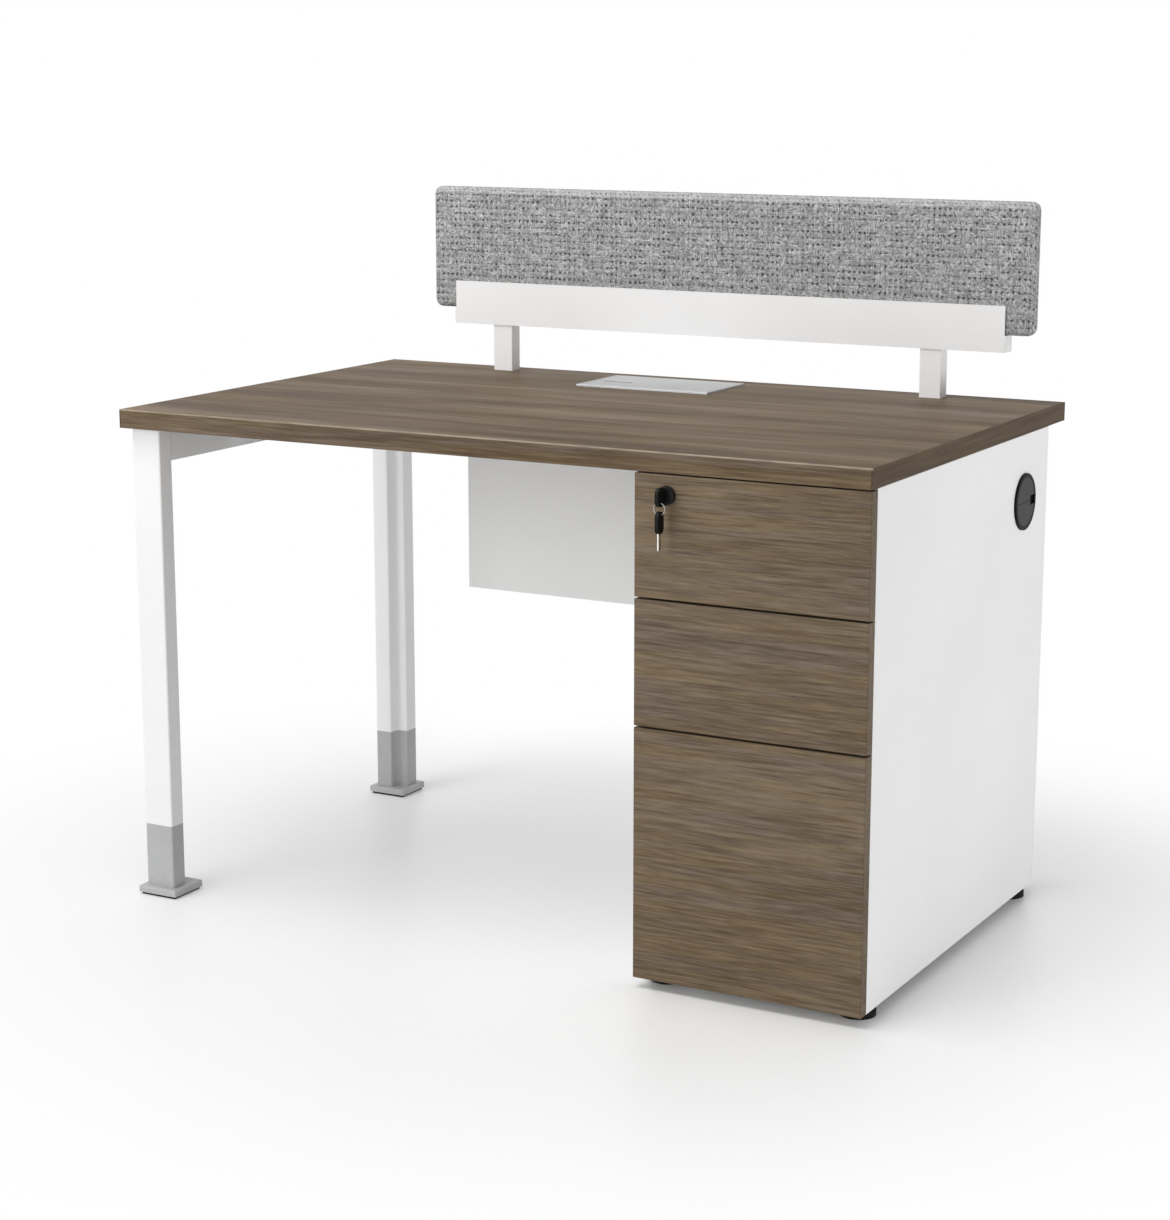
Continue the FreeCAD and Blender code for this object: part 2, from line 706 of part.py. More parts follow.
left_board = block("left_side_board", SIDE_SIZE, (PED_LEFT, CARCASS_FRONT, "pedestal_floor_gap"))
bar_groove = block("lock_bar_groove",
                   ("bar_thickness + bar_clearance", "bar_width + 2 * bar_clearance",
                    f"{BAR_TOP} - {BAR_BOTTOM} + bar_stroke + 2 * bar_clearance"),
                   (f"{INNER_LEFT} - bar_thickness - bar_clearance", f"{BAR_FRONT} - bar_clearance",
                    f"{BAR_BOTTOM} - bar_stroke - bar_clearance"))
cable_hole = rod("left_cable_hole", "grommet_hole", "panel_thickness",
                 (PED_LEFT, GROMMET_Y, GROMMET_Z), "+x")
left_tools = [bar_groove, cable_hole] + holes["left_side"]
node("pedestal_left_side", cut("pedestal_left_side", left_board, left_tools))

right_board = block("right_side_board", SIDE_SIZE, (INNER_RIGHT, CARCASS_FRONT, "pedestal_floor_gap"))
grommet_bore = rod("grommet_bore", "grommet_hole + 2 * grommet_hole_clearance", "panel_thickness",
                   (INNER_RIGHT, GROMMET_Y, GROMMET_Z), "+x")
node("pedestal_right_side", cut("pedestal_right_side", right_board, [grommet_bore]))

top_board = block("pedestal_top_board", (INNER_WIDTH, "drawer_space", "panel_thickness"),
                  (INNER_LEFT, CARCASS_FRONT, f"{UNDER} - panel_thickness"))
node("pedestal_top", cut("pedestal_top", top_board, holes["pedestal_top"]))
BACK_SIZE = (INNER_WIDTH, "divider_thickness", f"{UNDER} - {FLOOR_TOP}")
node("pedestal_divider", block("pedestal_divider", BACK_SIZE, (INNER_LEFT, DIVIDER, FLOOR_TOP)))
node("pedestal_rear_panel", block("pedestal_rear_panel", BACK_SIZE,
                                  (INNER_LEFT, f"{CARCASS_REAR} - divider_thickness", FLOOR_TOP)))

# Glides that screw into sockets in the pedestal's floor
GLIDES = {
    "front_left": (f"{PED_LEFT} + glide_side_inset", f"{CARCASS_FRONT} + glide_end_inset"),
    "front_right": (f"{RIGHT} - glide_side_inset", f"{CARCASS_FRONT} + glide_end_inset"),
    "rear_left": (f"{PED_LEFT} + glide_side_inset", f"{CARCASS_REAR} - glide_end_inset"),
    "rear_right": (f"{RIGHT} - glide_side_inset", f"{CARCASS_REAR} - glide_end_inset"),
}
GLIDE_PROFILE = [
    ("0", "0"), ("glide_diameter / 2", "0"), ("glide_diameter / 2", "glide_rim_height"),
    ("glide_neck_diameter / 2", "glide_height"), ("stud_diameter / 2", "glide_height"),
    ("stud_diameter / 2", "glide_height + stud_length"), ("0", "glide_height + stud_length"),
]
SOCKET_BORE = "(stud_diameter / 2 + stud_clearance)"
SOCKET_OUTER = f"({SOCKET_BORE} + socket_wall)"
SOCKET_PROFILE = [
    (SOCKET_BORE, "0 - socket_flange_thickness"),
    ("socket_flange_diameter / 2", "0 - socket_flange_thickness"), ("socket_flange_diameter / 2", "0"),
    (SOCKET_OUTER, "0"), (SOCKET_OUTER, "socket_length"), (SOCKET_BORE, "socket_length"),
]
sockets = []
socket_holes = []
for corner, (across, deep) in GLIDES.items():
    node(f"glide_{corner}", turned(f"glide_{corner}", GLIDE_PROFILE, (across, deep, "0"), "+z"))
    seat = (across, deep, "pedestal_floor_gap")
    sockets.append(turned(f"glide_socket_{corner}", SOCKET_PROFILE, seat, "+z"))
    socket_holes.append(rod(f"glide_hole_{corner}", f"2 * ({SOCKET_OUTER} + screw_clearance)",
                            "panel_thickness", seat, "+z"))
node("glide_sockets", group("glide_sockets", sockets))
floor_board = block("pedestal_floor_board", (INNER_WIDTH, CARCASS_DEPTH, "panel_thickness"),
                    (INNER_LEFT, CARCASS_FRONT, "pedestal_floor_gap"))
node("pedestal_bottom", cut("pedestal_bottom", floor_board, socket_holes))

# Drawers and their telescopic runners
WALL_LEFT = f"({INNER_LEFT} + runner_depth)"
WALL_RIGHT = f"({INNER_RIGHT} - runner_depth - wall_thickness)"
INSIDE_LEFT = f"({WALL_LEFT} + wall_thickness)"
BOX_INSIDE = f"({WALL_RIGHT} - {INSIDE_LEFT})"
FRONT_BACK = f"({FRONT} + front_thickness)"
RUNNER_START = f"({CARCASS_FRONT} + runner_setback)"
STEP = "(runner_wall + runner_clearance)"


def channel(name, side, start, depth, level, height, opens_inward):
    """A runner member: a channel whose depth is measured from the pedestal's side board."""
    def low_x(begin, length):
        return f"{INNER_LEFT} + {begin}" if side == "left" else f"{INNER_RIGHT} - ({begin}) - ({length})"

    bar = block(name + "_bar", (depth, "runner_length", height), (low_x(start, depth), RUNNER_START, level))
    hollow_start = f"{start} + runner_wall" if opens_inward else start
    hollow_depth = f"{depth} - runner_wall"
    hollow = block(name + "_hollow", (hollow_depth, "runner_length", f"{height} - 2 * runner_wall"),
                   (low_x(hollow_start, hollow_depth), RUNNER_START, f"{level} + runner_wall"))
    return cut(name, bar, [hollow])


lock_bore = rod("lock_bore", "barrel_diameter + 2 * barrel_clearance", "front_thickness",
                (LOCK_X, FRONT, LOCK_Z), "+y")
outer_members = []
for drawer, low, height in DRAWERS:
    name = f"drawer_{drawer}"
    walls_low, walls_height, runner_low = drawer_levels(low, height)

    face = slab(name + "_face", ("pedestal_width", "front_thickness", height), (PED_LEFT, FRONT, low))
    soften(face, "front_radius", on_face("y", "low"))
    node(name + "_front", cut(name + "_front", face, [lock_bore]) if drawer == "top" else face)

    left_wall = block(name + "_left_wall", ("wall_thickness", "drawer_length", walls_height),
                      (WALL_LEFT, FRONT_BACK, walls_low))
    right_wall = block(name + "_right_wall", ("wall_thickness", "drawer_length", walls_height),
                       (WALL_RIGHT, FRONT_BACK, walls_low))
    back_wall = block(name + "_back_wall", (BOX_INSIDE, "wall_thickness", walls_height),
                      (INSIDE_LEFT, f"{FRONT_BACK} + drawer_length - wall_thickness", walls_low))
    node(name + "_walls", group(name + "_walls", [left_wall, right_wall, back_wall]))
    node(name + "_bottom", block(name + "_bottom",
                                 (BOX_INSIDE, "drawer_length - wall_thickness", "drawer_bottom_thickness"),
                                 (INSIDE_LEFT, FRONT_BACK, f"{walls_low} + drawer_bottom_lift")))

    middle_members = []
    inner_members = []
    for side in ("left", "right"):
        outer_members.append(channel(
            f"{drawer}_{side}_outer", side, "0", "runner_flange",
            runner_low, "runner_height", True))
        middle_members.append(channel(
            f"{drawer}_{side}_middle", side, STEP, "runner_flange + runner_wall",
            f"{runner_low} + {STEP}", f"runner_height - 2 * {STEP}", True))
        inner_members.append(channel(
            f"{drawer}_{side}_inner", side, f"2 * {STEP}", f"runner_depth - 2 * {STEP}",
            f"{runner_low} + 2 * {STEP}", f"runner_height - 4 * {STEP}", False))
    tab_start = f"({STEP} + runner_flange + runner_wall + runner_clearance)"
    tab_low = f"({runner_low} + runner_height - 2 * {STEP})"
    tab = block(f"{drawer}_lock_tab",
                (f"runner_depth - {tab_start}", "tab_thickness", f"2 * {STEP} + tab_height"),
                (f"{INNER_LEFT} + {tab_start}", f"{PEG_Y} + peg_diameter / 2 + peg_gap", tab_low))
    inner_members[0] = join(f"{drawer}_left_inner_with_tab", [inner_members[0], tab])
    node(f"runner_middle_{drawer}", group(f"runner_middle_{drawer}", middle_members))
    node(f"runner_inner_{drawer}", group(f"runner_inner_{drawer}", inner_members))
node("runner_outer_members", group("runner_outer_members", outer_members))

file_walls, file_walls_height, _ = drawer_levels(*DRAWERS[2][1:])
rail_low = f"{file_walls} + {file_walls_height} + file_rail_rise - file_rail_height"
FILE_RAIL_SIZE = ("file_rail_thickness", "drawer_length - wall_thickness", "file_rail_height")
node("file_rails", group("file_rails", [
    block("file_rail_left", FILE_RAIL_SIZE, (INSIDE_LEFT, FRONT_BACK, rail_low)),
    block("file_rail_right", FILE_RAIL_SIZE, (f"{WALL_RIGHT} - file_rail_thickness", FRONT_BACK, rail_low)),
]))

# Lock: barrel in the top drawer's front, plug with a crank pin, and the bar that the pin moves
BARREL_END = "(front_thickness + barrel_tail)"
PLUG_BORE = "(plug_diameter / 2 + plug_clearance)"
node("lock_barrel", turned("lock_barrel", [
    (PLUG_BORE, "0 - rosette_thickness"), ("rosette_diameter / 2", "0 - rosette_thickness"),
    ("rosette_diameter / 2", "0"), ("barrel_diameter / 2", "0"), ("barrel_diameter / 2", BARREL_END),
    (PLUG_BORE, BARREL_END)], (LOCK_X, FRONT, LOCK_Z), "+y"))

COLLAR_START = f"({BARREL_END} + collar_gap)"
COLLAR_END = f"({COLLAR_START} + collar_thickness)"
plug_core = turned("lock_plug_core", [
    ("0", "0 - rosette_thickness - plug_proud"), ("plug_diameter / 2", "0 - rosette_thickness - plug_proud"),
    ("plug_diameter / 2", COLLAR_START), ("collar_diameter / 2", COLLAR_START),
    ("collar_diameter / 2", COLLAR_END), ("0", COLLAR_END)], (LOCK_X, FRONT, LOCK_Z), "+y")
crank = rod("lock_crank_pin", "crank_pin", "crank_length",
            (f"{LOCK_X} + crank_radius", f"{FRONT} + {COLLAR_END}", LOCK_Z), "+y")
keyway_width = "(blade_thickness + 2 * keyway_clearance)"
keyway_height = "(blade_height + 2 * keyway_clearance)"
keyway_length = "rosette_thickness + plug_proud + blade_reach + keyway_clearance"
keyway = block("lock_keyway", (keyway_width, keyway_length, keyway_height),
               (f"{LOCK_X} - {keyway_width} / 2", f"{FRONT} - rosette_thickness - plug_proud",
                f"{LOCK_Z} - {keyway_height} / 2"))
node("lock_plug", cut("lock_plug", join("lock_plug_with_pin", [plug_core, crank]), [keyway]))

bar_strip = block("lock_bar_strip", ("bar_thickness", "bar_width", f"{BAR_TOP} - {BAR_BOTTOM}"),
                  (f"{INNER_LEFT} - bar_thickness", BAR_FRONT, BAR_BOTTOM))
lug_end = f"({LOCK_X} + crank_radius + {LUG_SLOT} + lug_wall)"
lug_plate = block("lock_bar_lug",
                  (f"{lug_end} - {INNER_LEFT}", "lug_thickness", f"2 * ({LUG_SLOT} + lug_wall)"),
                  (INNER_LEFT, BAR_FRONT, f"{LOCK_Z} - {LUG_SLOT} - lug_wall"))
lug_slot = block("lock_bar_slot", (f"crank_radius + 2 * {LUG_SLOT}", "lug_thickness", f"2 * {LUG_SLOT}"),
                 (f"{LOCK_X} - {LUG_SLOT}", BAR_FRONT, f"{LOCK_Z} - {LUG_SLOT}"))
pegs = [rod(f"lock_bar_peg_{drawer}", "peg_diameter", "runner_depth - peg_end_gap",
            (INNER_LEFT, PEG_Y, peg_level(low, height)), "+x") for drawer, low, height in DRAWERS]
node("lock_bar", cut("lock_bar", join("lock_bar_with_pegs", [bar_strip, lug_plate] + pegs), [lug_slot]))

# Key in the lock, split ring and spare key
BOW_BACK = f"({FRONT} - rosette_thickness - key_shoulder)"
BOW_FRONT = f"({BOW_BACK} - bow_length)"
RING_Y = f"({BOW_FRONT} + ring_hole_inset)"
RING_HOLE_Z = f"({LOCK_Z} - ring_hole_drop)"
RING_TOP = f"({RING_HOLE_Z} - ring_hole / 2 + ring_clearance + ring_wire / 2)"
RING_BOTTOM = f"({RING_TOP} - 2 * ring_radius)"
SPARE_HOLE_Z = f"({RING_BOTTOM} + ring_wire / 2 + ring_clearance - ring_hole / 2)"
SPARE_TOP = f"({SPARE_HOLE_Z} + spare_hole_drop)"
SPARE_LOW = f"({SPARE_TOP} - spare_bow_height)"


def cross_hole(name, level):
    """The hole for the split ring, across a bow."""
    return rod(name, "ring_hole", "bow_thickness", (f"{LOCK_X} - bow_thickness / 2", RING_Y, level), "+x")


def blade_block(name, length, height, deep, level):
    """A flat key blade, centred on the lock's axis in width."""
    return block(name, ("blade_thickness", length, height), (f"{LOCK_X} - blade_thickness / 2", deep, level))


def bow(name, length, height, deep, level):
    """A flat key bow with round corners, centred on the lock's axis in width."""
    body = slab(name, ("bow_thickness", length, height), (f"{LOCK_X} - bow_thickness / 2", deep, level))
    return soften(body, "bow_radius", along("x"))


key_blade_length = "blade_root + key_shoulder + rosette_thickness + blade_reach"
key_blade = blade_block("key_blade", key_blade_length, "blade_height", f"{BOW_BACK} - blade_root",
                        f"{LOCK_Z} - blade_height / 2")
node("key_blade", key_blade)
key_bow_body = bow("key_bow_body", "bow_length", "bow_height", BOW_FRONT, f"{LOCK_Z} - bow_height / 2")
node("key_bow", cut("key_bow", key_bow_body, [cross_hole("key_bow_hole", RING_HOLE_Z), key_blade]))

ring = doc.addObject("Part::Torus", "key_ring")
ring.setExpression("Radius1", bound("ring_radius"))
ring.setExpression("Radius2", bound("ring_wire / 2"))
place(ring, (LOCK_X, RING_Y, f"{RING_TOP} - ring_radius"), "+y")
node("key_ring", ring)

spare_blade = blade_block("spare_key_blade", "blade_height", "spare_blade_length + blade_root",
                          f"{RING_Y} - blade_height / 2", f"{SPARE_LOW} - spare_blade_length")
node("spare_key_blade", spare_blade)
spare_bow = bow("spare_bow_body", "spare_bow_width", "spare_bow_height",
                f"{RING_Y} - spare_bow_width / 2", SPARE_LOW)
spare_tools = [cross_hole("spare_bow_hole", SPARE_HOLE_Z), spare_blade]
node("spare_key_bow", cut("spare_key_bow", spare_bow, spare_tools))

# Cable box: frame in the desktop, hinged lid, tray under it
LID_WIDTH = "(box_width - 2 * bezel_width - 2 * lid_gap)"
LID_DEPTH = "(box_depth - 2 * bezel_width - 2 * lid_gap)"
LID_LEFT = f"({BOX_LEFT} + bezel_width + lid_gap)"
LID_FRONT = f"({BOX_FRONT} + bezel_width + lid_gap)"
HINGE_Y = f"({LID_FRONT} + {LID_DEPTH} - hinge_setback)"
HINGE_Z = "(desk_height + bezel_height / 2)"
PIN_REACH = "(lid_gap + hinge_bite)"

bezel = slab("box_bezel", ("box_width", "box_depth", "bezel_height"), (BOX_LEFT, BOX_FRONT, "desk_height"))
soften(bezel, "lid_radius", on_face("z", "high"))
NECK_BOTTOM = "desk_height - neck_depth"
neck = block("box_neck",
             (f"box_width - 2 * {BOX_WALL_INSET}", f"box_depth - 2 * {BOX_WALL_INSET}", "neck_depth"),
             (f"{BOX_LEFT} + {BOX_WALL_INSET}", f"{BOX_FRONT} + {BOX_WALL_INSET}", NECK_BOTTOM))
MOUTH_WIDTH = "box_width - 2 * bezel_width"
MOUTH_LEFT = f"{BOX_LEFT} + bezel_width"
MOUTH_FRONT = f"{BOX_FRONT} + bezel_width"
mouth = block("box_mouth", (MOUTH_WIDTH, "box_depth - 2 * bezel_width", "neck_depth + bezel_height"),
              (MOUTH_LEFT, MOUTH_FRONT, NECK_BOTTOM))
ledge = block("box_ledge", (MOUTH_WIDTH, "ledge_depth", "ledge_depth"),
              (MOUTH_LEFT, MOUTH_FRONT, "desk_height - ledge_depth"))
frame_ring = cut("box_frame_ring", join("box_frame_blank", [bezel, neck]), [mouth])
pin_holes = rod("box_pin_holes", "hinge_pin + 2 * hinge_clearance",
                f"{LID_WIDTH} + 2 * {PIN_REACH} + 2 * hinge_clearance",
                (f"{LID_LEFT} - {PIN_REACH} - hinge_clearance", HINGE_Y, HINGE_Z), "+x")
box_frame = join("box_frame_with_ledge", [frame_ring, ledge])
node("cable_box_frame", cut("cable_box_frame", box_frame, [pin_holes]))

lid_plate = slab("lid_plate", (LID_WIDTH, LID_DEPTH, "bezel_height"), (LID_LEFT, LID_FRONT, "desk_height"))
soften(lid_plate, "lid_radius", on_face("z", "high"))
PIN_LENGTH = f"{PIN_REACH} + hinge_setback"
lid_pins = [
    rod("lid_pin_left", "hinge_pin", PIN_LENGTH,
        (f"{LID_LEFT} + hinge_setback", HINGE_Y, HINGE_Z), "-x"),
    rod("lid_pin_right", "hinge_pin", PIN_LENGTH,
        (f"{LID_LEFT} + {LID_WIDTH} - hinge_setback", HINGE_Y, HINGE_Z), "+x"),
]
finger_groove = block("lid_finger_groove", ("groove_length", "groove_width", "groove_depth"),
                      (f"{LID_LEFT} + groove_left_inset", f"{LID_FRONT} + groove_front_inset",
                       "desk_height + bezel_height - groove_depth"))
node("cable_box_lid", cut("cable_box_lid", join("lid_with_pins", [lid_plate] + lid_pins), [finger_groove]))

TRAY_INSET = f"({BOX_WALL_INSET} - tray_margin)"
TRAY_DEPTH = f"(box_depth - 2 * {TRAY_INSET})"
TRAY_OUTER = f"({TRAY_DEPTH} + tray_wall)"
TRAY_PROFILE = [
    ("0 - tray_wall - tray_flange", "0"), ("0 - tray_wall - tray_flange", "0 - tray_wall"),
    ("0 - tray_wall", "0 - tray_wall"), ("0 - tray_wall", "0 - tray_height"),
    (TRAY_OUTER, "0 - tray_height"), (TRAY_OUTER, "0 - tray_wall"),
    (f"{TRAY_OUTER} + tray_flange", "0 - tray_wall"), (f"{TRAY_OUTER} + tray_flange", "0"),
    (TRAY_DEPTH, "0"), (TRAY_DEPTH, "tray_wall - tray_height"), ("0", "tray_wall - tray_height"), ("0", "0"),
]
node("cable_tray", prism("cable_tray", "YZ_Plane", [TRAY_PROFILE], "tray_length",
                         (f"{BOX_MIDDLE} - tray_length / 2", f"{BOX_FRONT} + {TRAY_INSET}", UNDER)))

# Grommet in the right side, with a cap that turns to open or close its cable notch
SLEEVE_BORE = "(grommet_hole / 2 - sleeve_wall)"
CAP_RECESS = "(cap_diameter / 2 + cap_clearance)"
GROMMET_POINT = (RIGHT, GROMMET_Y, GROMMET_Z)
node("grommet_ring", turned("grommet_ring", [
    (SLEEVE_BORE, "0 - panel_thickness"), ("grommet_hole / 2", "0 - panel_thickness"),
    ("grommet_hole / 2", "0"), ("grommet_diameter / 2", "0"),
    ("grommet_diameter / 2", "grommet_flange - grommet_bevel"),
    ("grommet_diameter / 2 - grommet_bevel", "grommet_flange"), (CAP_RECESS, "grommet_flange"),
    (CAP_RECESS, "ledge_rise"), (SLEEVE_BORE, "ledge_rise")], GROMMET_POINT, "+x"))

CAP_BACK = "(ledge_rise + cap_seat_gap)"
CAP_FACE = f"({CAP_BACK} + cap_thickness)"
SKIRT_OUTER = f"({SLEEVE_BORE} - cap_clearance)"
SKIRT_INNER = f"({SKIRT_OUTER} - cap_skirt_wall)"
cap_disc = turned("grommet_cap_disc", [
    ("0", CAP_BACK), (SKIRT_INNER, CAP_BACK), (SKIRT_INNER, "0 - cap_skirt"),
    (SKIRT_OUTER, "0 - cap_skirt"), (SKIRT_OUTER, CAP_BACK), ("cap_diameter / 2", CAP_BACK),
    ("cap_diameter / 2", CAP_FACE), ("0", CAP_FACE)], GROMMET_POINT, "+x")
notch = block("grommet_notch", (f"cap_skirt + {CAP_FACE}", "notch_reach", "notch_width"),
              (f"{RIGHT} - cap_skirt", f"{GROMMET_Y} + cap_diameter / 2 - notch_reach",
               f"{GROMMET_Z} - notch_width / 2"))
split = block("grommet_split", ("split_depth", "cap_diameter - notch_reach", "split_width"),
              (f"{RIGHT} + {CAP_FACE} - split_depth", f"{GROMMET_Y} - cap_diameter / 2",
               f"{GROMMET_Z} - split_width / 2"))
node("grommet_cap", cut("grommet_cap", cap_disc, [notch, split]))

# Screen: posts, rail with end caps, and the padded panel with its core board
for (side, low_x), bolt_hole in zip(POSTS.items(), bolt_holes):
    post = slab(f"{side}_post_bar", ("post_width", "post_depth", "post_height"),
                (low_x, POST_FRONT, "desk_height"))
    soften(post, "post_radius", along("z"))
    post_inside = ("post_width - 2 * post_wall", "post_depth - 2 * post_wall", "post_height - post_base")
    post_hollow = block(f"{side}_post_hollow", post_inside,
                        (f"{low_x} + post_wall", f"{POST_FRONT} + post_wall", "desk_height + post_base"))
    node(f"screen_post_{side}", cut(f"screen_post_{side}", post, [post_hollow, bolt_hole]))

RAIL_LEFT = f"(screen_shift - {RAIL_WIDTH} / 2)"
RAIL_FRONT = f"({POST_FRONT} + (post_depth - rail_depth) / 2)"
RAIL_INSIDE = "rail_depth - rail_wall"
RAIL_PROFILE = [
    ("0", "0"), ("rail_depth", "0"), ("rail_depth", "rail_height"), (RAIL_INSIDE, "rail_height"),
    (RAIL_INSIDE, "rail_box_height"), ("rail_wall", "rail_box_height"), ("rail_wall", "rail_height"),
    ("0", "rail_height"),
]
RAIL_HOLLOW = rectangle(("rail_wall", "rail_wall"), (RAIL_INSIDE, "rail_box_height - rail_wall"))
node("screen_rail", prism("screen_rail", "YZ_Plane", [RAIL_PROFILE, RAIL_HOLLOW], RAIL_WIDTH,
                          (RAIL_LEFT, RAIL_FRONT, RAIL_Z)))

PLUG_INSET = "(rail_wall + end_cap_clearance)"
RAIL_RIGHT = f"({RAIL_LEFT} + {RAIL_WIDTH})"
CAP_PLACES = [
    ("left", f"{RAIL_LEFT} - end_cap_thickness", RAIL_LEFT),
    ("right", RAIL_RIGHT, f"{RAIL_RIGHT} - end_cap_plug"),
]
end_caps = []
for side, plate_x, plug_x in CAP_PLACES:
    plate = block(f"{side}_cap_plate", ("end_cap_thickness", "rail_depth", "rail_box_height"),
                  (plate_x, RAIL_FRONT, RAIL_Z))
    plug = block(f"{side}_cap_plug",
                 ("end_cap_plug", f"rail_depth - 2 * {PLUG_INSET}", f"rail_box_height - 2 * {PLUG_INSET}"),
                 (plug_x, f"{RAIL_FRONT} + {PLUG_INSET}", f"{RAIL_Z} + {PLUG_INSET}"))
    end_caps.append(join(f"{side}_end_cap", [plate, plug]))
node("rail_end_caps", group("rail_end_caps", end_caps))

SCREEN_LEFT = f"(screen_shift - {SCREEN_WIDTH} / 2)"
SCREEN_FRONT = f"({RAIL_FRONT} + (rail_depth - screen_thickness) / 2)"
SCREEN_Z = f"({RAIL_Z} + rail_box_height)"
SCREEN_SIZE = (SCREEN_WIDTH, "screen_thickness", "screen_height")
SCREEN_CORNER = (SCREEN_LEFT, SCREEN_FRONT, SCREEN_Z)
core = slab("screen_core_board", [f"{full} - 2 * fabric_layer" for full in SCREEN_SIZE],
            [f"{low} + fabric_layer" for low in SCREEN_CORNER])
core = soften(core, "screen_corner - fabric_layer", along("y"))
node("screen_core", core)
padding = soften(slab("screen_padding", SCREEN_SIZE, SCREEN_CORNER), "screen_corner", along("y"))
soften(padding, "screen_edge", on_face("y", "low"))
soften(padding, "screen_edge", on_face("y", "high"))
node("screen_fabric", cut("screen_fabric", padding, [core]))

# Every object is sound before anything is written
doc.recompute()
for thing in doc.Objects:
    if {"Invalid", "Error"} & set(thing.State):
        raise RuntimeError(f"{thing.Name} failed: {thing.State}")
for piece in nodes:
    if piece.Shape.isNull() or not piece.Shape.isValid() or not piece.Shape.Solids:
        raise RuntimeError(f"{piece.Label} has no sound solid")
os.makedirs("parts", exist_ok=True)
for piece in nodes:
    piece.Shape.exportStep(f"parts/{piece.Label}.step")
    print(piece.Label, len(piece.Shape.Solids), "solids", round(piece.Shape.Volume / 1000, 2), "cm3")
print(len(nodes), "nodes")
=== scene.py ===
import json
import math

import bmesh
import bpy
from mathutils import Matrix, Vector


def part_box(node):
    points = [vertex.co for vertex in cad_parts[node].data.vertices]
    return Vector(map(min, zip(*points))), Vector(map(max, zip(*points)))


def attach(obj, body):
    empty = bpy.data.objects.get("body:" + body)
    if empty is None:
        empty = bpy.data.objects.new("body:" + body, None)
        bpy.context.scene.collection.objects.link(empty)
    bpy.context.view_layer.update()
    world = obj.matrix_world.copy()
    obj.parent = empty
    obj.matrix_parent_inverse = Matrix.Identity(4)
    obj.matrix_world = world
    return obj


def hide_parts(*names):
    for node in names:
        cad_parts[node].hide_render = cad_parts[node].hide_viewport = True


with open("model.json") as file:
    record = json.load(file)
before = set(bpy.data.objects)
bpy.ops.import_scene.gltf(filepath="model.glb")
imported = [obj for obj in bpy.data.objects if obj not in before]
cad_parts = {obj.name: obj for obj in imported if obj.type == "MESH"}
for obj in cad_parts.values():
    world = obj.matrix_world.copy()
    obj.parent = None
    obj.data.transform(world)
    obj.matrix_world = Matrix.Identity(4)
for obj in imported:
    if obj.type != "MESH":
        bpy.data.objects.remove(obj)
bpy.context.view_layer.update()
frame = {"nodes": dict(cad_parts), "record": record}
nodes = frame["nodes"]


